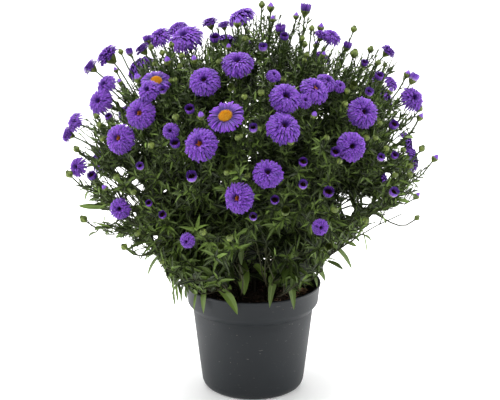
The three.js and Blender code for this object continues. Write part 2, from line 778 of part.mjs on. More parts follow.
// Long lower leaves that arch over the pot's rim, [turn in degrees, tip radius, tip height, width]
const RIM_LEAVES = [
  [-129, 79, 101, 8], [-137, 79, 99, 6], [-101, 79, 103, 8], [-77, 78, 108, 5], [-59, 79, 106, 7],
  [-8, 78, 115, 6], [-14, 98, 128, 6], [-24, 112, 133, 7], [-166, 82, 95, 5], [-155, 104, 118, 6],
  [-174, 96, 110, 6], [-97, 69, 122, 12], [19, 100, 120, 7], [30, 80, 102, 8], [47, 92, 112, 6],
  [69, 79, 104, 7], [83, 84, 108, 8], [101, 79, 99, 6], [118, 96, 118, 7], [136, 80, 103, 8],
  [158, 88, 108, 6], [172, 78, 104, 7],
];

// They root in the core and rise over the rim before they fall
const LEAF_ROOT_RADIUS = 44;
const LEAF_ROOT_Z = 126;
const LEAF_TOP_Z = 138;

function rimLeaf([degrees, tipRadius, tipHeight, width]) {
  const angle = degrees * Math.PI / 180;
  const root = atPolar(LEAF_ROOT_RADIUS, angle, LEAF_ROOT_Z);
  const over = atPolar(Math.max(tipRadius * 0.86, RIM_RADIUS), angle, LEAF_TOP_Z);
  const tip = atPolar(tipRadius, angle, tipHeight);
  const side = new THREE.Vector3(-Math.sin(angle), Math.cos(angle), 0);
  return { curve: bow(root, over, tip), width, side };
}

const pot = place(makePot(), "pot");
const feet = stems.map(({ index }) => stalkOf(index).v1);
const soil = place(makeSoil(feet), "soil");

for (const leaf of RIM_LEAVES.map(rimLeaf)) {
  const stem = stems[stemOf(leaf.curve.v2)];
  if (isClear(blade(leaf, CLEARANCE), stem.index)) {
    stem.solids.push(place(blade(leaf), stem.index));
  }
}

const group = new THREE.Group();
group.add(meshOf("pot", pot, potPlastic));
group.add(meshOf("soil", soil, peat));
stems.forEach((stem) => {
  group.add(meshOf(`leafy_stem_${stem.index + 1}`, joined(stem.solids), leafGreen));
});
bloomSolids.forEach((solid, i) => {
  group.add(meshOf(`bloom_${String(i + 1).padStart(2, "0")}`, solid, violet));
});
discs.forEach((solid, i) => {
  group.add(meshOf(`flower_disc_${i + 1}`, solid, discYellow));
});

export default group;
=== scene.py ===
import json
import math

import bpy
import numpy as np
from mathutils import Matrix, Vector, noise

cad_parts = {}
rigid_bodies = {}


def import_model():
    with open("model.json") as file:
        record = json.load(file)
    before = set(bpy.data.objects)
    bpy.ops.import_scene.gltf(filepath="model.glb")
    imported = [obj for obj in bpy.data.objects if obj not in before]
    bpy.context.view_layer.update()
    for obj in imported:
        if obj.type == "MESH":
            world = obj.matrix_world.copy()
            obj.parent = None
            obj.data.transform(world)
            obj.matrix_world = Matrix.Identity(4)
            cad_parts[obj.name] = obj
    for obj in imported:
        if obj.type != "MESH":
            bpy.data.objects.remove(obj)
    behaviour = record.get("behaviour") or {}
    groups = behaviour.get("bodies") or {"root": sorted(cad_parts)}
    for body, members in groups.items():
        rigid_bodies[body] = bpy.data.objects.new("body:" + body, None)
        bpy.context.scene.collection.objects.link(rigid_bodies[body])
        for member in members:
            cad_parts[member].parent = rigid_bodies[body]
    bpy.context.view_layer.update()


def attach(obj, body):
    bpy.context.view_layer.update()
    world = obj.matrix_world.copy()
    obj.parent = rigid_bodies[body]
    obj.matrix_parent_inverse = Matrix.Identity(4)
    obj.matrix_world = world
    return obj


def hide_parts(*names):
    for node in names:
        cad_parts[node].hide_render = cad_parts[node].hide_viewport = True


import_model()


# Nursery pot
# A 14 cm round pot of dark grey polypropylene, injection moulded in one piece, with a stepped
# collar, a small lip and six drain holes. Mould texture leaves it matt, and handling has scuffed it.

MM = 0.001
POT_SIDES = 144
POT_OUTSIDE = [
    (0, 0), (20, 0), (43, 0), (46.5, 0.5), (49.4, 2.4), (51.6, 5.2), (53, 9), (56.2, 34), (59.4, 60),
    (62.3, 84.2), (61.8, 85.4), (61.9, 86.2), (62.8, 87.0), (64.6, 89.4), (67.2, 92.6), (67.9, 94),
    (68.05, 95.6), (68.8, 102), (69.6, 110.6), (69.9, 111.5), (70.4, 112), (70.5, 112.8),
    (70.3, 113.6), (69.7, 114),
]
POT_INSIDE = [
    (68.5, 113.9), (68.1, 113.2), (66.4, 96), (61, 86.5), (51.4, 10.5), (43, 2), (20, 2), (0, 2),
]
DRAIN_HOLES = 6
DRAIN_RADIUS = 4.5
DRAIN_RING = 31
DRAIN_SIDES = 24
DRAIN_PUNCH = [(0, -3), (DRAIN_RADIUS, -3), (DRAIN_RADIUS, 5), (0, 5)]
SHARP_ANGLE = math.radians(35)


def linear(hex_colour):
    """An sRGB hex colour as linear red, green, blue and alpha."""
    shares = [int(hex_colour[i:i + 2], 16) / 255 for i in (1, 3, 5)]
    return [c / 12.92 if c <= 0.04045 else ((c + 0.055) / 1.055) ** 2.4 for c in shares] + [1.0]


def new_material(name, settings):
    """A material with the numbers and colours that its shader has all over."""
    material = bpy.data.materials.new(name)
    material.use_nodes = True
    for socket, value in settings.items():
        material.node_tree.nodes["Principled BSDF"].inputs[socket].default_value = value
    return material


def finish_with(material, outputs):
    """Links what a material's nodes give to its shader."""
    shader = material.node_tree.nodes["Principled BSDF"]
    for socket, output in outputs.items():
        material.node_tree.links.new(output, shader.inputs[socket])


def add_node(material, kind, settings=None, links=None):
    """Adds a node, sets its inputs or properties, and links other nodes' outputs to its inputs."""
    made = material.node_tree.nodes.new(kind)
    for key, value in (settings or {}).items():
        if hasattr(made, str(key)):
            setattr(made, key, value)
        else:
            made.inputs[key].default_value = value
    for key, output in (links or {}).items():
        material.node_tree.links.new(output, made.inputs[key])
    return made


def turned(profile, sides):
    """A body turned on the upright axis from (radius, height) points; ends on the axis close it."""
    angles = np.linspace(0, 2 * math.pi, sides, endpoint=False)
    points = []
    faces = []
    rings = []
    for radius, height in profile:
        start = len(points)
        if radius == 0:
            points.append((0, 0, height))
            rings.append([start] * sides)
        else:
            points.extend((radius * math.cos(a), radius * math.sin(a), height) for a in angles)
            rings.append(list(range(start, start + sides)))
    for low, high in zip(rings, rings[1:]):
        for i in range(sides):
            j = (i + 1) % sides
            corners = [low[i], low[j], high[j], high[i]]
            faces.append(list(dict.fromkeys(corners)))
    return np.array(points), faces


def mesh_piece(name, points, faces, materials, maps=None, face_materials=None):
    """A smooth shaded mesh from points in millimetres; maps holds a UV pair for every point."""
    mesh = bpy.data.meshes.new(name)
    mesh.from_pydata((np.asarray(points) * MM).tolist(), [], [list(face) for face in faces])
    for material in materials:
        mesh.materials.append(material)
    if face_materials is not None:
        mesh.polygons.foreach_set("material_index", np.asarray(face_materials, np.int32))
    corners = np.empty(len(mesh.loops), np.int32)
    mesh.loops.foreach_get("vertex_index", corners)
    for map_name, pairs in (maps or {}).items():
        layer = mesh.uv_layers.new(name=map_name)
        layer.uv.foreach_set("vector", np.asarray(pairs, np.float32)[corners].ravel())
    mesh.shade_smooth()
    mesh.update()
    piece = bpy.data.objects.new(name, mesh)
    bpy.context.scene.collection.objects.link(piece)
    return piece


# Near-black plastic with the soft shine of a matt mould
polypropylene = new_material("moulded_dark_polypropylene", {"IOR": 1.49, "Specular IOR Level": 0.32})
place = add_node(polypropylene, "ShaderNodeTexCoord").outputs["Object"]
# Broad cloudiness of the plastic, about 40 mm across
cloud = add_node(polypropylene, "ShaderNodeTexNoise", {"Scale": 25.0, "Detail": 4.0},
                 {"Vector": place}).outputs["Fac"]
plastic = add_node(polypropylene, "ShaderNodeMix", {
    "data_type": "RGBA", 6: linear("#13171b"), 7: linear("#1d2226"),
}, {0: cloud}).outputs[2]
# Scuffs: short pale scrapes a few millimetres long
scrape_place = add_node(polypropylene, "ShaderNodeMapping", {"Scale": (160.0, 160.0, 420.0)},
                        {"Vector": place}).outputs["Vector"]
scrape = add_node(polypropylene, "ShaderNodeTexNoise", {"Scale": 1.0, "Detail": 3.0, "Roughness": 0.6},
                  {"Vector": scrape_place}).outputs["Fac"]
scuff = add_node(polypropylene, "ShaderNodeMapRange", {
    "From Min": 0.68, "From Max": 0.8, "To Min": 0.0, "To Max": 0.4,
}, {"Value": scrape}).outputs["Result"]
scuffed = add_node(polypropylene, "ShaderNodeMix", {
    "data_type": "RGBA", 7: linear("#8b8781"),
}, {0: scuff, 6: plastic}).outputs[2]
# Dust and splashed peat: specks about 2 mm across
speck = add_node(polypropylene, "ShaderNodeTexNoise", {"Scale": 520.0, "Detail": 1.0},
                 {"Vector": place}).outputs["Fac"]
dust = add_node(polypropylene, "ShaderNodeMapRange", {
    "From Min": 0.77, "From Max": 0.83, "To Min": 0.0, "To Max": 0.4,
}, {"Value": speck}).outputs["Result"]
finish = add_node(polypropylene, "ShaderNodeMix", {
    "data_type": "RGBA", 7: linear("#9a8f80"),
}, {0: dust, 6: scuffed}).outputs[2]
# Spark-eroded mould texture, drawn at 1 mm where the real grain is a quarter of that
grain = add_node(polypropylene, "ShaderNodeTexNoise", {"Scale": 1000.0, "Detail": 2.0},
                 {"Vector": place}).outputs["Fac"]
bump = add_node(polypropylene, "ShaderNodeBump", {"Strength": 0.18, "Distance": 0.0004},
                {"Height": grain}).outputs["Normal"]
gloss = add_node(polypropylene, "ShaderNodeMapRange", {"To Min": 0.42, "To Max": 0.62},
                 {"Value": cloud}).outputs["Result"]
finish_with(polypropylene, {"Base Color": finish, "Roughness": gloss, "Normal": bump})

pot = mesh_piece("nursery_pot", *turned(POT_OUTSIDE + POT_INSIDE, POT_SIDES), [polypropylene])
for i in range(DRAIN_HOLES):
    angle = (i + 0.5) * 2 * math.pi / DRAIN_HOLES
    points, faces = turned(DRAIN_PUNCH, DRAIN_SIDES)
    points += (DRAIN_RING * math.cos(angle), DRAIN_RING * math.sin(angle), 0)
    punch = mesh_piece(f"drain_punch_{i}", points, faces, [])
    cut = pot.modifiers.new("drain hole", "BOOLEAN")
    cut.object = punch
    cut.solver = "EXACT"
bpy.context.view_layer.update()
punched = bpy.data.meshes.new_from_object(pot.evaluated_get(bpy.context.evaluated_depsgraph_get()))
pot.modifiers.clear()
pot.data = punched
for punch in [each for each in bpy.data.objects if each.name.startswith("drain_punch")]:
    bpy.data.objects.remove(punch)
pot.data.set_sharp_from_angle(angle=SHARP_ANGLE)
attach(pot, "root")
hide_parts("pot")


# Potting soil
# Peat with fine bark, filled to 11 mm below the rim and settled. Its top is crumbly, with bark
# chips and torn roots lying on it.

SOIL_TOP = 103
SOIL_RADIUS = 66.5
SOIL_SIDES = 120
SOIL_RINGS = 44
SOIL_UNDER = [(65.9, 97), (60.4, 86.5), (51, 11), (42, 2.4), (0, 2.4)]
SOIL_LUMP = 2.6
# Sizes of the lumps in millimetres, and the share of each
LUMPS = [(16, 0.8), (5, 0.5), (2, 0.3)]
CHIPS = 420
ROOTS = 60
TUFT_ROOTS = 60
TUFT_TURNS = (-0.26, 0.12)
LITTER_SHARE = 0.98
SOIL_SEED = 5
SPLINTER = np.array([(-1, 0, 0), (1, 0, 0), (0, -1, 0), (0.2, 1, 0), (0, 0, -1), (-0.2, 0, 1)])
SPLINTER_SIDES = [
    (0, 2, 4), (2, 1, 4), (1, 3, 4), (3, 0, 4), (2, 0, 5), (1, 2, 5), (3, 1, 5), (0, 3, 5),
]

draw = np.random.default_rng(SOIL_SEED)
rings = [(0, SOIL_TOP)] + [(r, SOIL_TOP) for r in np.linspace(1.5, SOIL_RADIUS, SOIL_RINGS)]
points, faces = turned((rings + SOIL_UNDER)[::-1], SOIL_SIDES)
for point in points:
    if point[2] == SOIL_TOP:
        spot = Vector(point)
        point[2] += SOIL_LUMP * sum(noise.noise(spot / size) * share for size, share in LUMPS)
soil_points = [points]
soil_faces = list(faces)
soil_kinds = [0] * len(faces)


def scattered(count, kind, radius_range, long_range, thick_range, turn_range=(0, 2 * math.pi)):
    """Splinters lying on the soil: six-cornered bodies, pointed at both ends."""
    for _ in range(count):
        reach = SOIL_RADIUS * LITTER_SHARE * math.sqrt(draw.uniform(*radius_range))
        turn = draw.uniform(*turn_range)
        long = draw.uniform(*long_range)
        thick = draw.uniform(*thick_range)
        shape = SPLINTER * (long / 2, thick, thick * 0.7) * draw.uniform(0.7, 1.3, (6, 1))
        about = Matrix.Rotation(draw.uniform(0, 6.3), 3, "Z")
        pitched = Matrix.Rotation(draw.normal(0, 0.2), 3, "Y")
        shape = shape @ np.array(about @ pitched).T
        start = sum(len(each) for each in soil_points)
        centre = (reach * math.cos(turn), reach * math.sin(turn), SOIL_TOP + draw.uniform(0, 1.6))
        soil_points.append(shape + centre)
        soil_faces.extend([tuple(start + corner for corner in side) for side in SPLINTER_SIDES])
        soil_kinds.extend([kind] * len(SPLINTER_SIDES))


scattered(CHIPS, 1, (0.0, 1.0), (2.0, 7.0), (0.6, 1.6))
scattered(ROOTS, 2, (0.3, 1.0), (8.0, 20.0), (0.25, 0.5))
# A tuft of torn roots lies in the open at the right
scattered(TUFT_ROOTS, 2, (0.5, 0.74), (4.0, 12.0), (0.5, 1.0), TUFT_TURNS)

# Damp peat: nearly black and without shine
peat = new_material("damp_peat_compost", {"IOR": 1.35, "Roughness": 0.95})
place = add_node(peat, "ShaderNodeTexCoord").outputs["Object"]
# Crumbs about 3 mm across
crumb = add_node(peat, "ShaderNodeTexNoise", {"Scale": 330.0, "Detail": 5.0, "Roughness": 0.65},
                 {"Vector": place}).outputs["Fac"]
shade = add_node(peat, "ShaderNodeMapRange", {"From Min": 0.35, "From Max": 0.7},
                 {"Value": crumb}).outputs["Result"]
tint = add_node(peat, "ShaderNodeMix", {
    "data_type": "RGBA", 6: linear("#15100c"), 7: linear("#43331f"),
}, {0: shade}).outputs[2]
bump = add_node(peat, "ShaderNodeBump", {"Strength": 0.9, "Distance": 0.002},
                {"Height": crumb}).outputs["Normal"]
finish_with(peat, {"Base Color": tint, "Normal": bump})

# Chips of composted bark: browner than the peat, with a darker and a lighter grain
bark = new_material("composted_bark_chip", {"IOR": 1.45, "Roughness": 0.85})
place = add_node(bark, "ShaderNodeTexCoord").outputs["Object"]
fibre = add_node(bark, "ShaderNodeTexNoise", {"Scale": 140.0, "Detail": 4.0},
                 {"Vector": place}).outputs["Fac"]
shade = add_node(bark, "ShaderNodeMapRange", {"From Min": 0.35, "From Max": 0.65},
                 {"Value": fibre}).outputs["Result"]
tint = add_node(bark, "ShaderNodeMix", {
    "data_type": "RGBA", 6: linear("#2a1c13"), 7: linear("#5e4531"),
}, {0: shade}).outputs[2]
finish_with(bark, {"Base Color": tint})

# Torn roots that have dried at the top: thin and pale
root_fibre = new_material("dry_root_fibre", {"IOR": 1.45, "Roughness": 0.8})
place = add_node(root_fibre, "ShaderNodeTexCoord").outputs["Object"]
fade = add_node(root_fibre, "ShaderNodeTexNoise", {"Scale": 90.0, "Detail": 2.0},
                {"Vector": place}).outputs["Fac"]
tint = add_node(root_fibre, "ShaderNodeMix", {
    "data_type": "RGBA", 6: linear("#8f6248"), 7: linear("#c4a283"),
}, {0: fade}).outputs[2]
finish_with(root_fibre, {"Base Color": tint})

soil = mesh_piece("potting_soil", np.concatenate(soil_points), soil_faces, [peat, bark, root_fibre],
                  face_materials=soil_kinds)
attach(soil, "root")
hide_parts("soil")


# Places of the flower heads
# The crown carries its heads on a shell round its middle. The heads of the front are set out as
# seen from the camera, and those behind are spread evenly, as in the solids that they replace.

CROWN = np.array([0.0, 0.0, 218.0])
HEAD_SHELL = 178
VIEW_ELEVATION = math.radians(16.5)
VIEW_DISTANCE = 2300
VIEW_AIM = np.array([0.0, 0.0, 202.0])
UP = np.array([0.0, 0.0, 1.0])
VIEW_BACK = np.array([0, -math.cos(VIEW_ELEVATION), math.sin(VIEW_ELEVATION)])
VIEW_RIGHT = np.array([1.0, 0.0, 0.0])
VIEW_UP = np.array([0, math.sin(VIEW_ELEVATION), math.cos(VIEW_ELEVATION)])
VIEW_EYE = VIEW_AIM + VIEW_BACK * VIEW_DISTANCE
GOLDEN_ANGLE = math.pi * (3 - math.sqrt(5))
# Heads behind: how far they turn away from the camera, and how low they hang
FIRST_BEHIND = -0.2
LOWEST_BEHIND = -0.26


def unit(vectors):
    """Vectors of length one."""
    vectors = np.asarray(vectors, float)
    return vectors / np.maximum(np.linalg.norm(vectors, axis=-1, keepdims=True), 1e-9)


def sight_at(across, up):
    """The way of the line of sight at across and up in the plane through the aim."""
    return unit(VIEW_AIM + VIEW_RIGHT * across + VIEW_UP * up - VIEW_EYE)


def seat(across, up, lift=0.0):
    """Where the line of sight at across and up meets the shell of heads, or passes nearest to it."""
    sight = sight_at(across, up)
    to_crown = CROWN - VIEW_EYE
    nearest = sight @ to_crown
    miss = to_crown @ to_crown - nearest ** 2
    inward = math.sqrt(max(HEAD_SHELL ** 2 - miss, 0))
    return VIEW_EYE + sight * (nearest - inward - lift)


def facing(point, tilt, lean=None):
    """Facing of a head that leans by tilt from the line of sight, outwards or towards lean."""
    seen = point - CROWN
    angle = math.atan2(seen @ VIEW_UP, seen @ VIEW_RIGHT) if lean is None else lean
    aside = VIEW_RIGHT * math.cos(angle) + VIEW_UP * math.sin(angle)
    return unit(unit(VIEW_EYE - point) * math.cos(tilt) + aside * math.sin(tilt))


def seeded(state):
    """The draws that place the heads behind; the solids use the same ones."""
    while True:
        state = (state + 0x6D2B79F5) & 0xFFFFFFFF
        mixed = ((state ^ state >> 15) * (state | 1)) & 0xFFFFFFFF
        mixed ^= (mixed + ((mixed ^ mixed >> 7) * (mixed | 61) & 0xFFFFFFFF)) & 0xFFFFFFFF
        yield (mixed ^ mixed >> 14) / 4294967296


def spread(count, turn):
    """Directions spread evenly over the whole crown by the golden angle, from the top down."""
    steps = np.arange(count)
    height = 1 - 2 * (steps + 0.5) / count
    ring = np.sqrt(1 - height ** 2)
    angle = steps * GOLDEN_ANGLE + turn
    return np.stack([ring * np.cos(angle), ring * np.sin(angle), height], axis=1)


def is_behind(direction):
    """The side away from the camera, above the lowest heads."""
    return direction @ VIEW_BACK < FIRST_BEHIND and direction[2] > LOWEST_BEHIND


def turned_about(vector, axis, angle):
    """A vector turned about an axis of length one."""
    along = axis * (axis @ vector)
    return along + (vector - along) * math.cos(angle) + np.cross(axis, vector) * math.sin(angle)


# Open blooms at the front, a row for each node: across, up, diameter, tilt, lift, lean
LEFT = math.pi
UPWARD = math.pi / 2
FRONT_BLOOMS = [
    [(-166, 136, 18, 82, -12)],
    [(-148, 147, 26, 78)],
    [(-113, 154, 17, 88)],
    [(-77, 176, 22, 62), (-67, 163, 37, 47)],
    [(-44, 181, 17, 82)],
    [(-12, 188, 29, 58)],
    [(-16, 140, 32, 45)],
    [(-50, 122, 31, 30)],
    [(-107, 111, 23, 35), (-100, 126, 31, 44)],
    [(-151, 118, 24, 50, 12), (-157, 101, 28, 40)],
    [(-183, 80, 22, 65), (-189, 67, 17, 75)],
    [(-116, 89, 31, 25)],
    [(-180, 34, 22, 40)],
    [(-137, -9, 22, 15)],
    [(-68, -42, 16, 30)],
    [(-85, 71, 17, 15)],
    [(-54, 57, 34, 28)],
    [(-28, 85, 37, 38)],
    [(-15, 2, 31, 30, 0, LEFT)],
    [(15, 27, 30, 28, 0, UPWARD)],
    [(31, 74, 35, 40)],
    [(33, 105, 32, 32), (57, 101, 16, 34), (64, 114, 30, 46), (80, 124, 22, 52), (92, 116, 14, 36)],
    [(21, 128, 15, 42)],
    [(70, 168, 15, 75), (87, 167, 22, 58)],
    [(113, 90, 32, 28)],
    [(101, 55, 30, 18)],
    [(164, 104, 27, 40)],
    [(142, 120, 17, 70)],
    [(138, 152, 17, 80)],
    [(69, -28, 17, 20)],
]
LONE_BLOOMS = [
    [(-96, 167, 27, 60, -8)],
    [(-137, 63, 31, 33)],
    [(-30, 179, 13, 80, -5)],
]
# The single ones, by their row and place in it
SINGLE_BLOOMS = [(8, 1), (17, 0)]
# A small bloom stands before the first single one and hides its lower rays: row, place in the row,
# how much nearer to the camera and how much higher
MOVED_BLOOMS = [(8, 0, 9, 1), (8, 1, -5, -4)]
# The broad one of row 3 looks up, the first single one faces the sky, and the topmost one leans to
# the left: row, place in the row, tilt in degrees, lean
TURNED_BLOOMS = [(3, 1, 58, None), (8, 1, 46, UPWARD), (5, 0, 74, math.radians(114))]
RIPE_EYES = [(-116, 89), (64, 114), (-15, 2), (-137, 63), (-54, 57)]
YOUNG_TILT = 58
EDGE_ON_TILT = 75
RIM_REACH = 0.4
# Blooms behind stand in clusters on sites that are spread evenly
BACK_SHELL = HEAD_SHELL - 4
CLUSTER_REACH = 0.38
CLUSTER_TURN = 2.2
SITES = 74
SITES_TURN = 0.4
BACK_SEED = 21
BACK_SIZES = [[30, 24], [33], [26, 18, 22], [31], [28, 20], [22], [34, 26], [17], [24, 30]]


def front_row(row):
    """The blooms of a row are level with each other and meet at their rims."""
    blooms = []
    for across, up, size, tilt, *rest in row:
        at = seat(across, up, rest[0] if rest else 0)
        face = facing(at, math.radians(tilt), rest[1] if len(rest) > 1 else None)
        if blooms:
            before = blooms[-1]
            level = unit(face + before["face"])
            sight = unit(at - VIEW_EYE)
            step = at - before["at"]
            step = step - sight * (step @ level) / (sight @ level)
            most = RIM_REACH * (size + before["size"])
            at = before["at"] + step * min(1, most / np.linalg.norm(step))
        blooms.append({
            "at": at, "face": face, "size": size, "young": tilt >= YOUNG_TILT,
            "edge_on": tilt >= EDGE_ON_TILT,
            "ripe": (across, up) in RIPE_EYES,
        })
    return blooms


bloom_rows = [front_row(row) for row in FRONT_BLOOMS]
back_draws = seeded(BACK_SEED)
for i, direction in enumerate([each for each in spread(SITES, SITES_TURN) if is_behind(each)]):
    sizes = BACK_SIZES[i % len(BACK_SIZES)]
    aside = unit(np.cross(direction, UP))
    start = next(back_draws) * math.pi
    blooms = []
    for k, size in enumerate(sizes):
        reach = 0 if k == 0 else CLUSTER_REACH * (sizes[0] + size)
        side = turned_about(aside, direction, start + k * CLUSTER_TURN)
        place = unit(direction + side * reach / HEAD_SHELL)
        lean = np.array([next(back_draws) - 0.5, next(back_draws) - 0.5, next(back_draws) * 0.6])
        blooms.append({
            "at": CROWN + place * BACK_SHELL, "face": unit(place + lean * 0.3), "size": size,
        })
    bloom_rows.append(blooms)

bloom_rows += [front_row(row) for row in LONE_BLOOMS]
for row, place_in_row, nearer, higher in MOVED_BLOOMS:
    bloom = bloom_rows[row][place_in_row]
    bloom["at"] = bloom["at"] + VIEW_BACK * nearer + VIEW_UP * higher
for row, place_in_row, tilt, lean in TURNED_BLOOMS:
    bloom = bloom_rows[row][place_in_row]
    bloom["face"] = facing(bloom["at"], math.radians(tilt), lean)
for row, place_in_row in SINGLE_BLOOMS:
    bloom_rows[row][place_in_row]["single"] = True

# Half-open heads and buds at the front: across, up, width
FRONT_CUPS = [
    (-127, 152, 8), (-39, 165, 11), (32, 167, 9), (10, 156, 9), (114, 140, 8), (129, 126, 10),
    (119, 110, 9), (97, 158, 9), (-109, 165, 9), (-93, 112, 8), (-65, 92, 10), (-80, 57, 10),
    (0, 73, 9), (84, 48, 10), (51, 38, 9), (51, 15, 9), (77, 7, 11), (22, -1, 9), (0, -18, 8),
    (33, -12, 9), (-23, 32, 8), (-63, 23, 11), (-93, -16, 8), (-107, -4, 7), (-116, 34, 8),
    (-165, 24, 10), (144, 76, 10), (144, 7, 10), (-33, -49, 7), (77, -49, 8), (131, 43, 8),
    (145, 45, 8), (-148, 85, 8), (165, 125, 11), (54, 196, 12), (28, 175, 11), (68, 107, 8),
    (-23, 115, 7), (103, 117, 8),
]
# Half-open heads that have lost their violet and show a pale ring
FADED_CUPS = [(33, -12), (-23, 32), (-33, -49), (77, -49), (-23, 115), (103, 117)]
VIOLET_BUDS = [
    (-16, 178, 9), (18, 194, 9), (20, 183, 7), (69, 174, 8), (72, 147, 6), (-60, 141, 8),
    (-87, 139, 9), (-117, 121, 10), (-53, 83, 9), (38, 57, 8), (62, 84, 8), (157, 126, 8),
    (170, 82, 8), (185, 40, 8), (-151, 10, 7), (-136, 119, 6), (-140, 131, 6), (-119, 127, 4),
    (-25, 154, 7), (44, 186, 7),
]
GREEN_BUDS = [
    (9, 198, 7), (-136, 151, 6), (-105, 156, 6), (-84, 158, 6), (-93, 149, 6), (-101, 139, 6),
    (-73, 146, 6), (-75, 136, 6), (-35, 140, 6), (-8, 164, 7), (60, 174, 6), (55, 148, 6),
    (53, 143, 5), (50, 164, 6), (103, 173, 7), (103, 147, 9), (120, 152, 7), (128, 139, 6),
    (135, 137, 5), (-9, 104, 6), (8, 108, 7), (31, 122, 6), (21, 119, 5), (23, 95, 6), (-16, 62, 6),
    (-13, 64, 5), (6, 72, 5), (-79, 83, 7), (-104, 54, 7), (-85, 122, 5), (-80, 122, 5),
    (94, 97, 6), (96, 110, 6), (129, 77, 6), (75, 62, 6), (111, 75, 6), (104, 81, 6), (116, 62, 7),
    (125, 62, 6), (88, 38, 6), (171, 92, 7), (173, 51, 7), (154, 50, 6), (160, 24, 6), (145, 24, 6),
    (161, 33, 7), (136, 51, 6), (-187, 24, 8), (-180, 50, 7), (-157, 75, 6), (-154, 61, 6),
    (-160, 84, 6), (-139, 21, 7), (-122, 6, 6), (-172, -22, 8), (-131, -50, 7), (-118, -36, 6),
    (-93, -65, 5), (-51, -35, 7), (-24, -41, 7), (-27, 26, 6), (-6, 23, 6), (83, -12, 7),
    (115, -23, 7),
]
# Half-open heads that the photograph shows from the side
SIDE_CUPS = [(54, 196), (165, 125), (28, 175), (-109, 165), (97, 158), (144, 45)]
LOOK_UP = 1.2
LOOK_AHEAD = 0.75
# Small heads behind: how many are spread over the whole crown, the turn of the spread, and width
BACK_CUPS = (32, 1.9, 9)
BACK_BUDS = (50, 0.8, 7)
BACK_SMALL_BUDS = (66, 2.3, 6)
BACK_VIOLET_BUDS = (44, 3.1, 8)
# A green bud at the rim of a bloom stays behind its rays
RIM_SHARE = 0.52
RIM_DEPTH = 14
BEHIND_RIM = 13


def small_heads(kind, front, count_behind, turn, size_behind):
    """Half-open heads or buds; they look outward and a little up, and most of the front ahead."""
    heads = []
    for across, up, size in front:
        at = seat(across, up)
        ahead = LOOK_AHEAD if kind == "cup" and (across, up) not in SIDE_CUPS else 0
        heads.append({
            "at": at, "face": unit(unit(at - CROWN) + UP * LOOK_UP + VIEW_BACK * ahead), "size": size,
            "kind": "faded_cup" if (across, up) in FADED_CUPS else kind,
        })
    heads += [
        {"at": CROWN + way * HEAD_SHELL, "face": unit(way + UP * LOOK_UP), "size": size_behind,
         "kind": kind}
        for way in spread(count_behind, turn) if is_behind(way)
    ]
    return heads


open_heads = [dict(bloom, kind="bloom") for row in bloom_rows for bloom in row]


def at_a_rim(head):
    """Whether a head is seen at an open bloom's rays and isn't far behind them."""
    sight = unit(head["at"] - VIEW_EYE)
    for bloom in open_heads:
        step = bloom["at"] - head["at"]
        off = np.linalg.norm(np.cross(step, sight))
        if off < RIM_SHARE * bloom["size"] and step @ VIEW_BACK < RIM_DEPTH:
            return True
    return False


heads = list(open_heads)
heads += small_heads("cup", FRONT_CUPS, *BACK_CUPS)
heads += small_heads("green_bud", GREEN_BUDS, *BACK_BUDS)
for head in heads:
    if head["kind"] == "green_bud" and at_a_rim(head):
        head["at"] = head["at"] - VIEW_BACK * BEHIND_RIM
heads += small_heads("green_bud", [], *BACK_SMALL_BUDS)
heads += small_heads("violet_bud", VIOLET_BUDS, *BACK_VIOLET_BUDS)


# Open blooms
# Double flower heads, 13 to 37 mm across: a hundred and twenty to two hundred and thirty strap-shaped
# ray florets in close layers round a small sunken eye. The two single ones have three layers and a disc.

# Rings of rays for a bloom of radius 1, from the drooping outer ones inwards: radius and height of
# the tips, radius and height that the rays bow towards, number of rays, half width
FULL_RINGS = [
    (0.92, -0.34, 0.88, 0.14, 30, 0.062), (0.99, -0.2, 0.86, 0.24, 30, 0.062),
    (1.0, -0.04, 0.82, 0.33, 30, 0.062), (0.96, 0.11, 0.74, 0.41, 28, 0.062),
    (0.87, 0.23, 0.64, 0.46, 26, 0.06), (0.75, 0.33, 0.52, 0.5, 24, 0.06),
    (0.62, 0.41, 0.4, 0.52, 21, 0.058), (0.49, 0.45, 0.3, 0.52, 17, 0.055),
    (0.38, 0.45, 0.25, 0.48, 13, 0.05), (0.3, 0.41, 0.21, 0.42, 10, 0.042),
]
SMALL_RINGS = [
    (0.95, -0.28, 0.88, 0.16, 24, 0.08), (1.0, -0.08, 0.82, 0.32, 24, 0.08),
    (0.92, 0.12, 0.7, 0.44, 22, 0.08), (0.78, 0.3, 0.54, 0.52, 19, 0.078),
    (0.6, 0.42, 0.4, 0.55, 15, 0.074), (0.43, 0.47, 0.27, 0.55, 12, 0.068),
    (0.31, 0.42, 0.22, 0.44, 9, 0.055),
]
# A young bloom is deeper: its rays still stand up and arch over, and the outer ones hide the cup
YOUNG_RINGS = [
    (0.95, -0.22, 0.92, 0.2, 28, 0.075), (1.0, -0.06, 0.9, 0.34, 28, 0.075),
    (0.98, 0.12, 0.82, 0.48, 26, 0.075), (0.89, 0.29, 0.7, 0.6, 24, 0.072),
    (0.75, 0.44, 0.54, 0.67, 20, 0.07), (0.59, 0.54, 0.41, 0.7, 16, 0.066),
    (0.43, 0.58, 0.28, 0.68, 13, 0.06), (0.3, 0.52, 0.22, 0.54, 9, 0.05),
]
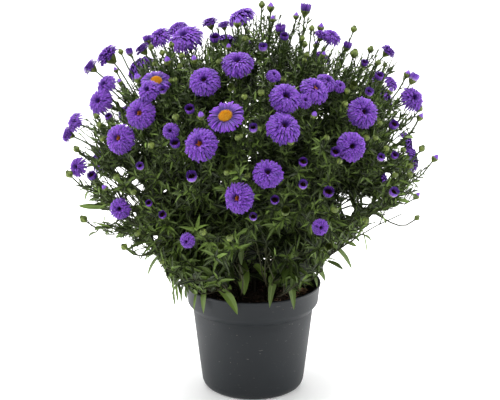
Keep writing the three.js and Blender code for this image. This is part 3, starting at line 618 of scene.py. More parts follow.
# A small young bloom seen from its side is a cap on its green cup
CAP_RINGS = [
    (0.97, -0.06, 0.95, 0.1, 26, 0.1), (1.0, 0.14, 0.94, 0.32, 26, 0.1),
    (0.98, 0.34, 0.86, 0.54, 24, 0.095), (0.88, 0.52, 0.7, 0.72, 20, 0.09),
    (0.72, 0.65, 0.52, 0.82, 16, 0.085), (0.52, 0.73, 0.34, 0.84, 12, 0.078),
    (0.34, 0.72, 0.24, 0.74, 9, 0.06),
]
SINGLE_RINGS = [
    (0.97, -0.06, 0.75, 0.2, 34, 0.062), (1.0, 0.04, 0.72, 0.26, 32, 0.062),
    (0.9, 0.12, 0.62, 0.3, 22, 0.06),
]
FULL_BLOOM = 28
BLOOM_SHARE = 0.96
YOUNG_SINK = 0.1
BLOOM_SPIN = 0.9
BLOOM_SEED = 31
# How far a ray turns about its own length, and how unevenly rays stand in their ring
RAY_TWIST = 0.27
RAY_UNEVEN = 0.16
RAY_SHAPE = np.array([0.45, 0.8, 1.0, 1.0, 0.72])


def level_ways(turns):
    """Level directions of length one at angles from +X."""
    return np.stack([np.cos(turns), np.sin(turns), np.zeros(len(turns))], axis=1)


def twisted(side, upper, twist):
    """Sideways and upward directions turned about the way ahead."""
    return side * np.cos(twist) + upper * np.sin(twist), upper * np.cos(twist) - side * np.sin(twist)


def blades(centre, side, rise, half, fold, tone):
    """Folded strips for rays, leaves and bracts, each three points across.

    centre, side and rise are (blades, rows, 3), half is the half width (blades, rows) or one row of
    it for all, fold is how far the edges stand up for each unit of half width, and tone is one shade
    for each blade.
    """
    count, rows = centre.shape[:2]
    half = np.broadcast_to(half, (count, rows))
    edge = side * half[..., None]
    lift = rise * (fold * half)[..., None]
    points = np.stack([centre - edge + lift, centre, centre + edge + lift], axis=2)
    index = np.arange(count * rows * 3).reshape(count, rows, 3)
    quads = np.stack([
        index[:, :-1, :-1], index[:, :-1, 1:], index[:, 1:, 1:], index[:, 1:, :-1],
    ], axis=-1)
    across = np.broadcast_to(np.array([0.0, 0.5, 1.0]), (count, rows, 3))
    along = np.broadcast_to(np.linspace(0, 1, rows)[None, :, None], (count, rows, 3))
    shade = np.broadcast_to(np.asarray(tone)[:, None, None], (count, rows, 3))
    return {
        "points": points.reshape(-1, 3),
        "faces": quads.reshape(-1, 4),
        "blade": np.stack([across, along], axis=-1).reshape(-1, 2),
        "tone": np.stack([shade, along], axis=-1).reshape(-1, 2),
    }


def ringed(rings_of_tips, shape, draws, root=(0.12, 0.05), loose=0.035, fold=0.3):
    """Rays in rings round the upright axis; each bows from root to its tip."""
    rings = []
    t = np.linspace(0, 1, len(shape))[None, :]
    for number, (radius, height, bow_radius, bow_height, count, half) in enumerate(rings_of_tips):
        turn = np.arange(count) + 0.5 * (number % 2) + draws.normal(0, RAY_UNEVEN, count)
        turn = turn * 2 * math.pi / count
        longer = 1 + draws.normal(0, loose, count)[:, None]
        out = (1 - t) ** 2 * root[0] + (2 * t * (1 - t) * bow_radius + t ** 2 * radius) * longer
        high = (1 - t) ** 2 * root[1] + 2 * t * (1 - t) * bow_height + t ** 2 * height
        high = high + draws.normal(0, loose, count)[:, None] * t
        radial = level_ways(turn)[:, None, :]
        centre = radial * out[..., None] + UP * high[..., None]
        tangent = unit(np.gradient(centre, axis=1))
        twist = draws.normal(0, RAY_TWIST, count)[:, None, None]
        side = np.cross(UP, radial)
        normal = np.cross(tangent, side)
        normal = normal * np.where(normal[..., 2:] < 0, -1, 1)
        side, normal = twisted(side, normal, twist)
        # Outer rings get a darker tone and inner ones a lighter: on a bloom's rays this is painted shade
        # on the drooping outer rings
        level = number / (len(rings_of_tips) - 1)
        tone = 0.4 * level + draws.uniform(0, 0.6, count)
        rings.append(blades(centre, side, normal, half * shape, fold, tone))
    return rings


def gathered(parts):
    """Several sets of blades as one set."""
    starts = np.cumsum([0] + [len(part["points"]) for part in parts[:-1]])
    kinds = [part.get("kinds", np.zeros(len(part["faces"]), int)) for part in parts]
    faces = [part["faces"] + start for part, start in zip(parts, starts)]
    joined = {key: np.concatenate([part[key] for part in parts]) for key in ("points", "blade", "tone")}
    return dict(joined, faces=np.concatenate(faces), kinds=np.concatenate(kinds))


def of_kind(part, kind):
    """The same blades with another of the piece's materials."""
    return dict(part, kinds=np.full(len(part["faces"]), kind))


def stood(part, at, face, scale, spin):
    """A part made upright at the origin, turned to face a way and set in its place."""
    tipped = Vector((0, 0, 1)).rotation_difference(Vector(face)).to_matrix()
    turn = np.array(tipped @ Matrix.Rotation(spin, 3, "Z"))
    return dict(part, points=part["points"] @ turn.T * scale + at)


def blade_piece(name, part, materials, node):
    """A set of blades as a piece that stands for a node."""
    piece = mesh_piece(name, part["points"], part["faces"].tolist(), materials,
                       {"blade": part["blade"], "tone": part["tone"]}, part["kinds"])
    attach(piece, "root")
    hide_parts(node)


def places_on_blade(material):
    """How far a spot lies across and along its blade, from 0 to 1, and the blade's own tone."""
    blade_map = add_node(material, "ShaderNodeUVMap", {"uv_map": "blade"}).outputs["UV"]
    tone_map = add_node(material, "ShaderNodeUVMap", {"uv_map": "tone"}).outputs["UV"]
    place = add_node(material, "ShaderNodeSeparateXYZ", {}, {"Vector": blade_map}).outputs
    tone = add_node(material, "ShaderNodeSeparateXYZ", {}, {"Vector": tone_map}).outputs
    return place["X"], place["Y"], tone["X"]


# Velvety ray florets: little gloss and a breath of sheen
ray = new_material("violet_ray_floret", {
    "IOR": 1.4, "Roughness": 0.55, "Sheen Weight": 0.08, "Sheen Roughness": 0.5,
    "Sheen Tint": linear("#a884e6"),
})
across, along, tone = places_on_blade(ray)
# Deep violet and lighter violet rays side by side, the outer drooping rings darker as painted shade
body = add_node(ray, "ShaderNodeMix", {
    "data_type": "RGBA", 6: linear("#330678"), 7: linear("#8236c8"),
}, {0: tone}).outputs[2]
# Each ray has a painted lavender highlight on its raised edges and painted shade into its throat
edge = add_node(ray, "ShaderNodeMath", {"operation": "PINGPONG", 1: 0.5},
                {0: across}).outputs["Value"]
# Painted highlight: paler lavender along the raised edges of each ray
edge_highlight = add_node(ray, "ShaderNodeMapRange", {
    "From Min": 0.2, "From Max": 0.0, "To Min": 0.0, "To Max": 0.65,
}, {"Value": edge}).outputs["Result"]
edge_highlighted = add_node(ray, "ShaderNodeMix", {
    "data_type": "RGBA", 7: linear("#b686ea"),
}, {0: edge_highlight, 6: body}).outputs[2]
# Painted shade: darker towards the ray's foot, where the rays crowd together
throat_shade = add_node(ray, "ShaderNodeMapRange", {
    "From Min": 0.35, "From Max": 0.95, "To Min": 0.85, "To Max": 0.0,
}, {"Value": along}).outputs["Result"]
shaded = add_node(ray, "ShaderNodeMix", {
    "data_type": "RGBA", 7: linear("#200957"),
}, {0: throat_shade, 6: edge_highlighted}).outputs[2]
# Fine lengthwise ribs, five across a ray
ribs = add_node(ray, "ShaderNodeMath", {"operation": "PINGPONG", 1: 0.1},
                {0: across}).outputs["Value"]
bump = add_node(ray, "ShaderNodeBump", {"Strength": 0.35, "Distance": 0.0008},
                {"Height": ribs}).outputs["Normal"]
finish_with(ray, {"Base Color": shaded, "Normal": bump})


def tubular_floret(name, roughness, dark, light, foot=None):
    """Small florets from dark to light; where foot is given, it is the colour of their feet."""
    material = new_material(name, {"IOR": 1.4, "Roughness": roughness})
    tone_map = add_node(material, "ShaderNodeUVMap", {"uv_map": "tone"}).outputs["UV"]
    tone = add_node(material, "ShaderNodeSeparateXYZ", {}, {"Vector": tone_map}).outputs
    colour = add_node(material, "ShaderNodeMix", {
        "data_type": "RGBA", 6: linear(dark), 7: linear(light),
    }, {0: tone["X"]}).outputs[2]
    if foot:
        colour = add_node(material, "ShaderNodeMix", {
            "data_type": "RGBA", 6: linear(foot),
        }, {0: tone["Y"], 7: colour}).outputs[2]
    finish_with(material, {"Base Color": colour})
    return material


# The eye is a dimple painted near black as shade; in five blooms it has opened and shows orange pollen
shaded_eye_floret = tubular_floret("shade_painted_eye_floret", 0.7, "#1c0a1c", "#46162c", "#0d0409")
ripe_floret = tubular_floret("ripe_orange_eye_floret", 0.7, "#b2501c", "#e6962c", "#5a1c14")

EYE_SHAPE = np.array([0.8, 1.0, 0.6])
draws = np.random.default_rng(BLOOM_SEED)


def bloom_form(rings, eye_radius, eye_top, eye_kind):
    """One bloom of radius 1: its rays and its eye's florets."""
    rays = of_kind(gathered(ringed(rings, RAY_SHAPE, draws, fold=0.45)), 0)
    eye = gathered(ringed([
        (eye_radius, eye_top, eye_radius * 0.7, eye_top - 0.07, 12, 0.035),
        (eye_radius * 0.6, eye_top - 0.02, eye_radius * 0.4, eye_top - 0.07, 9, 0.035),
        (eye_radius * 0.25, eye_top - 0.03, eye_radius * 0.2, eye_top - 0.07, 5, 0.035),
    ], EYE_SHAPE, draws, root=(0.03, 0.08)))
    return gathered([rays, of_kind(eye, eye_kind)])


full_forms = [bloom_form(FULL_RINGS, 0.16, 0.2, 1) for _ in range(4)]
small_forms = [bloom_form(SMALL_RINGS, 0.17, 0.2, 1) for _ in range(4)]
young_forms = [bloom_form(YOUNG_RINGS, 0.16, 0.3, 1) for _ in range(3)]
ripe_forms = [bloom_form(FULL_RINGS[:-1], 0.2, 0.24, 2) for _ in range(2)]
cap_forms = [bloom_form(CAP_RINGS, 0.16, 0.5, 1) for _ in range(2)]
single_form = of_kind(gathered(ringed(SINGLE_RINGS, RAY_SHAPE, draws, root=(0.28, 0.1))), 0)


def forms_of(bloom):
    """The forms that a bloom may have."""
    if bloom.get("single"):
        return [single_form]
    if bloom.get("edge_on"):
        return cap_forms
    if bloom.get("ripe"):
        return ripe_forms
    if bloom.get("young"):
        return young_forms
    return full_forms if bloom["size"] >= FULL_BLOOM else small_forms


count = 0
for number, row in enumerate(bloom_rows, 1):
    parts = []
    for bloom in row:
        count += 1
        forms = forms_of(bloom)
        radius = BLOOM_SHARE * bloom["size"] / 2
        sunk = YOUNG_SINK * radius * (bloom.get("young", False) and not bloom["edge_on"])
        at = bloom["at"] - bloom["face"] * sunk
        form = forms[count % len(forms)]
        parts.append(stood(form, at, bloom["face"], radius, BLOOM_SPIN * count))
    blade_piece(f"aster_bloom_{number:02d}", gathered(parts), [ray, shaded_eye_floret, ripe_floret],
                f"bloom_{number:02d}")


# Yellow discs
# The tight dome of tubular florets in the middle of the two single blooms: outer ones open and
# golden, inner ones still closed.

DISC_SHARE = 0.37
DISC_FLORETS = 150
DISC_HEIGHT = 0.1
DOME_SIDES = 24
DOME_MAP = 0.3
DISC_DOME = [(0, 0.3), (0.5, 0.22), (0.85, 0.05), (0.98, -0.12), (0, -0.14)]
FLORET_SHAPE = np.array([0.02, 0.05, 0.035])

# Pollen makes the open florets golden, over browner feet
disc_floret = tubular_floret("golden_disc_floret", 0.6, "#ffe256", "#f0b22c", "#b87a1c")


def upright_blades(centre, outward, half, fold):
    """Blades that stand round an upright axis with their upper sides towards it."""
    tone = draws.uniform(0, 1, len(centre))
    return blades(centre, np.cross(UP, outward), -outward, half, fold, tone)


def disc_form():
    """Florets set by the golden angle over a low dome of radius 1, four short blades to each."""
    steps = np.arange(DISC_FLORETS)
    out = np.sqrt((steps + 0.5) / DISC_FLORETS)
    turn = steps * GOLDEN_ANGLE
    foot = np.stack([out * np.cos(turn), out * np.sin(turn), 0.42 * (1 - out ** 2) - 0.1], axis=1)
    parts = []
    for k in range(4):
        aim = turn + k * math.pi / 2
        outward = level_ways(aim)
        tip = foot + UP * (0.2 + 0.08 * out[:, None]) + outward * (0.06 + 0.1 * out[:, None] ** 4)
        centre = np.stack([foot, (foot + tip) / 2 + outward * 0.02, tip], axis=1)
        parts.append(upright_blades(centre, outward[:, None], FLORET_SHAPE, 0.3))
    return gathered(parts)


florets = disc_form()
dome_points, dome_faces = turned(DISC_DOME, DOME_SIDES)
for number, (row, place_in_row) in enumerate(SINGLE_BLOOMS, 1):
    bloom = bloom_rows[row][place_in_row]
    radius = DISC_SHARE * bloom["size"] / 2
    base = bloom["at"] + bloom["face"] * DISC_HEIGHT * bloom["size"] / 2
    disc = stood(florets, base, bloom["face"], radius, 0)
    dome = stood({"points": dome_points}, base, bloom["face"], radius, 0)["points"]
    start = len(disc["points"])
    faces = disc["faces"].tolist() + [[start + corner for corner in face] for face in dome_faces]
    dome_map = np.full((len(dome), 2), DOME_MAP)
    maps = {key: np.concatenate([disc[key], dome_map]) for key in ("blade", "tone")}
    piece = mesh_piece(f"aster_disc_{number}", np.concatenate([disc["points"], dome]), faces,
                       [disc_floret], maps)
    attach(piece, "root")
    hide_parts(f"flower_disc_{number}")


# Leafy stems
# Eight tough stems stand in the soil, green above and browner below. They branch all the way up,
# each branch forks near the outside of the crown, and each twig ends in a head or a leafy tip.

STEMS_ROUND = 7
STEM_TURN = math.radians(12)
MIDDLE_ANGLE = math.radians(15)
STEM_FOOT = 88.3
STEM_TOP = 300
LOWEST_BRANCH = 22
# Forks: how far out they stand, how wide they spread and the most heads on one
FORK_SHELL = 106
FORK_REACH = math.radians(24)
FORK_MOST = 6
# How much a flower twig may sag, in the order in which that is tried
SAGS = [0.25, 0.5, 0.1, 0.8, -0.1]
MAIN_SIDES = 8
TWIG_SIDES = 5
SHOOTS = 350
SHOOTS_TURN = 1.1
GROWTH_SEED = 47
# A flower twig: how much it sways, and where it turns after its fork and before its head, as
# shares of its length
TWIG_SWAY = 0.06
TWIG_START = 0.3
TWIG_END = 0.42

# Outside of the leafy crown, and its underside over the pot: radius at each height
CROWN_OUTSIDE = [
    (78, 124), (100, 134), (124, 150), (150, 172), (164, 204), (170, 240), (164, 290), (134, 332),
    (80, 356), (0, 367),
]
UNDERSIDE = [(0, 96), (58, 108), (72, 117), (100, 128), (126, 142), (156, 160), (180, 176)]
# The underside as the photograph shows it from the front: height at each place across
FRONT_UNDERSIDE = [
    (-175, -33), (-150, -36), (-140, -38), (-131, -56), (-112, -66), (-100, -68), (-93, -74),
    (-88, -84), (-82, -94), (-76, -100), (-60, -98), (-40, -95), (-24, -90), (-14, -80), (0, -76),
    (14, -80), (26, -90), (46, -96), (60, -92), (70, -80), (76, -64), (84, -50), (95, -45),
    (107, -40), (116, -32), (130, -18), (140, -12), (150, -7), (160, 0), (178, 8),
]
# Furthest tips of leaves round (0, 60) as the photograph shows them: turn in degrees and reach
OUTSIDE_MIDDLE = (0, 60)
FRONT_OUTSIDE = [
    (-60, 168), (-48, 166), (-36, 158), (-24, 172), (-12, 184), (0, 180), (12, 180), (24, 174),
    (36, 164), (42, 154), (54, 136), (66, 147), (78, 139), (90, 146), (102, 124), (114, 130),
    (122, 116), (138, 151), (150, 170), (162, 168), (174, 184), (186, 186), (198, 190), (210, 195),
    (222, 176), (240, 180),
]
# Clear gaps between the twigs, as seen from the front: across, up, half width, half height
GAPS = [
    (-131, 134, 12, 14), (-28, 167, 7, 10), (57, 160, 7, 10), (-150, 133, 8, 6), (-171, 59, 6, 7),
    (98, -9, 7, 8), (-125, -1, 7, 7), (-137, 30, 6, 5), (-168, 29, 7, 5), (117, -1, 7, 3),
    (42, 165, 5, 4), (-124, -15, 4, 6), (124, -19, 6, 4), (-100, -38, 4, 5), (66, 153, 4, 5),
    (-144, 17, 4, 5), (131, 21, 6, 3), (-114, -49, 3, 6), (-103, -60, 3, 5), (151, 69, 4, 3),
    (-116, 13, 4, 4), (137, 25, 4, 4), (-140, 108, 5, 3), (-139, 4, 3, 4), (-121, 19, 4, 3),
    (-75, -94, 3, 4), (162, 79, 3, 4), (99, 141, 3, 3), (-135, 99, 3, 4), (-150, -17, 13, 6),
    (162, 57, 9, 7), (149, 63, 5, 4), (176, 62, 6, 10), (145, 110, 3, 3), (-160, 46, 3, 3),
    (-90, 8, 2, 4), (-81, -20, 2, 4),
]
# Leaves may reach into the outer part of each gap
GAP_SHARE = 0.72


def seen_at(points):
    """Where points appear from the front: across and up in the plane through the aim."""
    from_eye = points - VIEW_EYE
    scale = VIEW_DISTANCE / -(from_eye @ VIEW_BACK)
    return from_eye @ VIEW_RIGHT * scale, from_eye @ VIEW_UP * scale


# The dark hollow low in the middle, where no leaf grows on the near side: across, up, half width,
# half height, and how near to the camera leaves may come
HOLLOW = (2, -72, 21, 26)
HOLLOW_FRONT = -62
# Nothing grows higher than the topmost bud
TOP = 402
# Middle of a cup or a bud over the end of its twig, and how far from the middle of a head leaves
# stay clear of it and of the sight of it, as shares of its width
MOUTH_HEIGHT = 0.7
CLEAR_ROUND = 0.48
CLEAR_IN_SIGHT = 0.44


def behind_oval(points, oval, share):
    """Whether points are seen in the inner share of an oval's area."""
    across, up = seen_at(points)
    u, v, half_width, half_height = oval
    return ((across - u) / half_width) ** 2 + ((up - v) / half_height) ** 2 < share


def in_the_hollow(points):
    """Whether points hang before the dark hollow under the crown."""
    return behind_oval(points, HOLLOW, 1) & (points[..., 1] < HOLLOW_FRONT)


def in_a_gap(points):
    """Whether points stand in front of or behind one of the clear gaps."""
    return np.any([behind_oval(points, gap, GAP_SHARE) for gap in GAPS], axis=0)


def before_a_head(points):
    """Whether points are in a head or hide it, seen from the front or from straight ahead of it."""
    across, up = seen_at(points)
    hiding = np.zeros(across.shape, bool)
    for head in heads:
        size = head["size"]
        middle = 0 if head["kind"] == "bloom" else MOUTH_HEIGHT * size
        step = points - head["at"]
        ahead = step @ head["face"]
        aside = np.linalg.norm(step - ahead[..., None] * head["face"], axis=-1)
        over = (ahead > middle - 0.1 * size) & (ahead < middle + size)
        hiding |= over & (aside < CLEAR_ROUND * size)
        if head["face"] @ VIEW_BACK > 0 and head["kind"] != "green_bud":
            u, v = seen_at(head["at"] + head["face"] * middle)
            in_sight = np.hypot(across - u, up - v) < CLEAR_IN_SIGHT * size
            hiding |= in_sight & (step @ VIEW_BACK > 0)
    return hiding


def above_underside(points):
    """Whether points stay above the underside of the crown and inside its outline."""
    across, up = seen_at(points)
    reach = np.hypot(points[..., 0], points[..., 1])
    clear = (points[..., 2] > np.interp(reach, *np.transpose(UNDERSIDE))) & (points[..., 2] < TOP)
    clear &= up > np.interp(across, *np.transpose(FRONT_UNDERSIDE))
    aside, above = across - OUTSIDE_MIDDLE[0], up - OUTSIDE_MIDDLE[1]
    turn = np.degrees(np.arctan2(above, aside))
    furthest = np.interp(turn, *np.transpose(FRONT_OUTSIDE), period=360)
    return clear & (np.hypot(aside, above) < furthest)


def stem_of(point):
    """Number of the stem whose share of the crown a point is in; the last is the middle one."""
    way = unit(point - CROWN)
    if math.acos(min(way[2], 1)) < MIDDLE_ANGLE:
        return STEMS_ROUND
    turn = (math.atan2(point[1], point[0]) - STEM_TURN) / (2 * math.pi)
    return int(((turn + 2) % 1) * STEMS_ROUND)


def curved(controls, shares):
    """Points at shares of cubic curves: (curves, 4, 3) and (curves, rows) give (curves, rows, 3)."""
    t = np.broadcast_to(shares, (len(controls), np.shape(shares)[-1]))[..., None]
    a, b, c, d = (controls[:, k, None, :] for k in range(4))
    return (1 - t) ** 3 * a + 3 * t * (1 - t) ** 2 * b + 3 * t ** 2 * (1 - t) * c + t ** 3 * d


def course_of(line, first, last, count):
    """Points of one cubic curve between two shares of it."""
    return curved(line[None], np.linspace(first, last, count)[None])[0]


def heading(controls, shares):
    """Directions of cubic curves at shares of their length."""
    shares = np.asarray(shares)
    return unit(curved(controls, shares + 0.01) - curved(controls, shares - 0.01))


def stem_line(k):
    """Control points of main stem k, from its hole in the soil to near the top of the crown."""
    if k == STEMS_ROUND:
        return np.array([(0, 0, STEM_FOOT), (2, -2, 180), (-3, 3, 260), (0, 0, 338)], float)
    angle = STEM_TURN + (k + 0.5) * 2 * math.pi / STEMS_ROUND
    reach = 24 + 4 * (k % 3)
    steps = [(reach, STEM_FOOT), (reach + 1, 150), (reach + 14, 215), (reach + 34, STEM_TOP)]
    return np.array([(r * math.cos(angle), r * math.sin(angle), z) for r, z in steps])


def stem_root(k, end):
    """Where a branch to end leaves main stem k, and its share of the stem's length."""
    away = math.hypot(end[0], end[1])
    height = np.clip(end[2] - 0.5 * away, STEM_FOOT + LOWEST_BRANCH, STEM_TOP)
    share = (height - STEM_FOOT) / (STEM_TOP - STEM_FOOT)
    return curved(stem_line(k)[None], np.array([[share]]))[0, 0]


def branch_line(root, end, end_way, bend):
    """Control points of a branch that leaves its stem outward and rises into its end."""
    length = np.linalg.norm(end - root)
    level = unit((end - root) * (1, 1, 0.35))
    return np.array([root, root + level * 0.35 * length, end - end_way * bend * length, end])


def crosswise(ahead):
    """Two directions across a way, at right angles to each other."""
    sideways = unit(np.cross(ahead, (0.31, 0.17, 0.93)))
    return sideways, np.cross(sideways, ahead)


def lines_of(growths, k):
    """Control points of those growths that belong to stem k."""
    return [each["line"] for each in growths if each["stem"] == k]


def tubes(controls, thick_from, thick_to, rows, sides):
    """Round stems along cubic curves, tapering from one radius to the other."""
    controls = np.asarray(controls)
    shares = np.linspace(0, 1, rows)[None, :]
    centre = curved(controls, shares)
    sideways, rise = crosswise(heading(controls, shares))
    count = len(controls)
    angles = np.linspace(0, 2 * math.pi, sides, endpoint=False)
    radius = thick_from + (thick_to - thick_from) * shares
    ring = sideways[:, :, None, :] * np.cos(angles)[:, None]
    ring = ring + rise[:, :, None, :] * np.sin(angles)[:, None]
    points = centre[:, :, None, :] + ring * radius[:, :, None, None]
    index = np.arange(count * rows * sides).reshape(count, rows, sides)
    following = np.roll(index, -1, axis=2)
    quads = np.stack([index[:, :-1], following[:, :-1], following[:, 1:], index[:, 1:]], axis=-1)
    around = np.broadcast_to(np.abs(np.linspace(-1, 1, sides)), (count, rows, sides))
    along = np.broadcast_to(shares[..., None], (count, rows, sides))
    height = np.clip((points[..., 2] - 100) / 250, 0, 1)
    return {
        "points": points.reshape(-1, 3), "faces": quads.reshape(-1, 4),
        "blade": np.stack([around, along], axis=-1).reshape(-1, 2),
        "tone": np.stack([height, along], axis=-1).reshape(-1, 2),
    }


# Heads that lie close together hang on one fork, as in the solids
forks = []
for head in heads:
    way = unit(head["at"] - CROWN)
    head["stem"] = stem_of(head["at"])
    fork = next((
        each for each in forks
        if each["stem"] == head["stem"] and len(each["heads"]) < FORK_MOST
        and math.acos(min(1, each["way"] @ way)) < FORK_REACH
    ), None)
    if fork is None:
        fork = {"stem": head["stem"], "way": way, "heads": []}
        forks.append(fork)
    fork["heads"].append(head)

draws = np.random.default_rng(GROWTH_SEED)
branches = []
twigs = []
for fork in forks:
    middle = unit(np.sum([unit(head["at"] - CROWN) for head in fork["heads"]], axis=0))
    fork_at = CROWN + middle * FORK_SHELL
    root = stem_root(fork["stem"], fork_at)
    line = branch_line(root, fork_at, unit(middle + UP * 0.4), 0.4)
    branches.append({"stem": fork["stem"], "line": line})
    for head in fork["heads"]:
        length = np.linalg.norm(head["at"] - fork_at)
        sway = draws.normal(0, TWIG_SWAY, 3) * length
        level = 1 - abs(unit(head["at"] - CROWN)[2])
        leaving = fork_at + unit(head["at"] - fork_at) * TWIG_START * length + sway
        arriving = head["at"] - head["face"] * TWIG_END * length
        ways = [np.array([
            fork_at, leaving - UP * sag * length * level, arriving - UP * 0.3 * sag * length * level,
            head["at"] - head["face"] * 0.4,
        ]) for sag in SAGS]
        courses = [course_of(way, 0.1, 0.9, 15) for way in ways]
        crossed = [in_a_gap(each).sum() + 2 * (~above_underside(each)).sum() for each in courses]
        twigs.append({"stem": fork["stem"], "line": ways[int(np.argmin(crossed))]})

# Leafy tips spread evenly over the outside of the crown
outside = np.array(CROWN_OUTSIDE, float)
rise_of = np.arctan2(outside[:, 1] - CROWN[2], outside[:, 0])
reach_of = np.hypot(outside[:, 0], outside[:, 1] - CROWN[2])
shoots = []
for way in spread(SHOOTS, SHOOTS_TURN):
    climb = math.asin(way[2])
    if climb < rise_of[0]:
        continue
    reach = np.interp(climb, rise_of, reach_of) * draws.uniform(0.8, 1.0)
    end = CROWN + way * reach
    k = stem_of(end)
    end_way = unit(way + UP * draws.uniform(0.2, 1.0) + draws.normal(0, 0.15, 3))
    line = branch_line(stem_root(k, end), end, end_way, 0.35)
    course = course_of(line, 0.4, 1, 12)
    if above_underside(end) and not (in_a_gap(course) | before_a_head(course)).any():
        shoots.append({"stem": k, "line": line})


# Leafy tips that the photograph shows round the edge: across, up, and the way they point in degrees
SHOOT_BENDS = (0.4, 0.25, 0.55, 0.7)
FRONT_SHOOTS = [
    (11, 191, 95), (18, 181, 85), (9, 175, 90), (41, 175, 60), (-47, 165, 100), (-41, 157, 95),
    (-15, 165, 100), (51, 163, 80), (64, 154, 75), (74, 160, 80), (84, 142, 70), (93, 144, 75),
    (102, 142, 75), (110, 138, 70), (118, 132, 65), (127, 124, 70), (107, 152, 90), (136, 134, 70),
    (141, 118, 60), (148, 142, 60), (151, 105, 60), (146, 91, 50), (153, 84, 50), (162, 91, 60),
    (166, 74, 50), (157, 72, 45), (136, 84, 60), (161, 38, 50), (168, 28, 45), (162, 18, 40),
    (163, 12, 40), (151, 21, 50), (154, -14, 30), (143, -5, 20), (136, -15, -10), (126, -23, 10),
    (-178, 62, 150), (-174, 69, 140), (-170, 60, 135), (-180, 51, 140), (-172, 43, 130),
    (-166, 51, 120), (-161, 62, 110), (-162, 36, 110), (-166, 23, 120), (-171, 10, 150),
    (-166, 4, 160), (-168, 10, 120), (-163, 0, 170), (-170, -4, 180), (-158, 5, 130),
    (-153, -4, 175), (-147, 15, 110), (-140, 23, 110), (-133, 5, 100), (-124, -26, 160),
    (-116, -36, 190), (-119, -51, 200), (-106, -46, 200), (-160, -24, 170), (-152, -28, 170),
    (-139, 121, 110), (-133, 115, 110), (-129, 129, 120), (-119, 138, 110), (-111, 142, 100),
    (-106, 134, 100), (-96, 144, 100), (-90, 152, 100), (-83, 158, 95), (-101, 154, 95),
    (-79, 148, 90), (-145, 103, 120), (-150, 111, 120), (-139, 95, 110), (-50, 152, 95),
    (-56, 150, 100), (-44, 143, 85), (-38, 146, 80), (-52, 140, 100), (-174, 55, 150),
    (-176, 50, 150), (-168, 44, 140), (-152, 26, 130), (-156, 20, 150), (-148, 28, 110),
    (-138, 0, 150), (-128, 8, 120), (-134, -22, 170), (-142, 60, 120), (-133, 48, 120),
    (-176, 66, 115), (-164, 68, 100), (-182, 68, 130), (-170, 76, 120), (148, 80, 50),
    (158, 82, 60), (144, 70, 45), (152, 94, 55), (163, 98, 60), (156, 64, 40), (-62, 146, 95),
    (-34, 152, 90), (88, 150, 80), (98, 138, 70), (112, 128, 65), (122, 118, 60), (130, 112, 60),
    (140, 104, 55), (-172, 84, 130), (-164, 88, 120), (-156, 92, 110), (-126, 120, 110),
    (-114, 130, 105),
]
for across, up, aim in FRONT_SHOOTS:
    end = seat(across, up)
    aim = math.radians(aim)
    end_way = VIEW_RIGHT * math.cos(aim) + VIEW_UP * math.sin(aim)
    end_way = unit(end_way + unit(end - CROWN) * 0.3)
    k = stem_of(end)
    ways = [branch_line(stem_root(k, end), end, end_way, bend) for bend in SHOOT_BENDS]
    crossed = [in_a_gap(course_of(way, 0.3, 1, 15)).sum() for way in ways]
    if min(crossed) < 2:
        shoots.append({"stem": k, "line": ways[int(np.argmin(crossed))]})


def side_twigs(parents, per_parent, first, last, length_from, length_to):
    """Short leafy twigs that leave their parents at a slant and turn up towards the light."""
    lines = np.repeat(np.array([each["line"] for each in parents]), per_parent, axis=0)
    share = draws.uniform(first, last, (len(lines), 1))
    root = curved(lines, share)[:, 0]
    ahead = heading(lines, share)[:, 0]
    outward = unit(np.cross(ahead, unit(draws.normal(0, 1, (len(lines), 3)))))
    length = draws.uniform(length_from, length_to, (len(lines), 1))
    start = unit(ahead * 0.75 + outward * 0.65)
    end = root + unit(start + ahead * 0.4 + UP * 0.25) * length
    before_end = end - unit(ahead + UP * 0.5) * length * 0.3
    made = np.stack([root, root + start * length * 0.4, before_end, end], axis=1)
    stems = [each["stem"] for each in parents for _ in range(per_parent)]
    course = curved(made, np.linspace(0, 1, 8)[None])
    clear = above_underside(end) & ~in_a_gap(course).any(axis=1) & ~before_a_head(course).any(axis=1)
    return [{"stem": k, "line": line} for k, line, free in zip(stems, made, clear) if free]


# Sprigs on each growth: how many, between which shares of its length, shortest and longest
SPRIG_SETS = [
    (shoots, 3, 0.45, 0.9, 22, 45), (branches, 4, 0.4, 0.95, 25, 50), (twigs, 3, 0.2, 0.88, 13, 28),
]
sprigs = []
for parents, *how in SPRIG_SETS:
    sprigs += side_twigs(parents, *how)

# Leafy twigs close the seams between neighbouring stems: how far out and how high each ends
SEAM_TWIGS = [(70, 186), (88, 222), (98, 264)]
for k in range(STEMS_ROUND):
    outward = level_ways([STEM_TURN + k * 2 * math.pi / STEMS_ROUND])[0]
    for reach, height in SEAM_TWIGS:
        end = outward * reach + UP * height
        line = branch_line(stem_root(k, end), end, unit(outward + UP), 0.35)
        shoots.append({"stem": k, "line": line})

# Herb stems, brown at the foot and green above
stem_green = new_material("green_herb_stem", {"IOR": 1.45, "Specular IOR Level": 0.25, "Roughness": 0.7})
place = add_node(stem_green, "ShaderNodeTexCoord").outputs["Object"]
tone_map = add_node(stem_green, "ShaderNodeUVMap", {"uv_map": "tone"}).outputs["UV"]
height = add_node(stem_green, "ShaderNodeSeparateXYZ", {}, {"Vector": tone_map}).outputs["X"]
tint = add_node(stem_green, "ShaderNodeMix", {
    "data_type": "RGBA", 6: linear("#292315"), 7: linear("#33451a"),
}, {0: height}).outputs[2]
# Stiff short hairs and streaks, about 1 mm apart
streak = add_node(stem_green, "ShaderNodeTexNoise", {"Scale": 900.0, "Detail": 2.0},
                  {"Vector": place}).outputs["Fac"]
mottled = add_node(stem_green, "ShaderNodeMix", {
    "data_type": "RGBA", "blend_type": "OVERLAY", 0: 0.4,
}, {6: tint, 7: streak}).outputs[2]
bump = add_node(stem_green, "ShaderNodeBump", {"Strength": 0.4, "Distance": 0.0005},
                {"Height": streak}).outputs["Normal"]
finish_with(stem_green, {"Base Color": mottled, "Normal": bump})

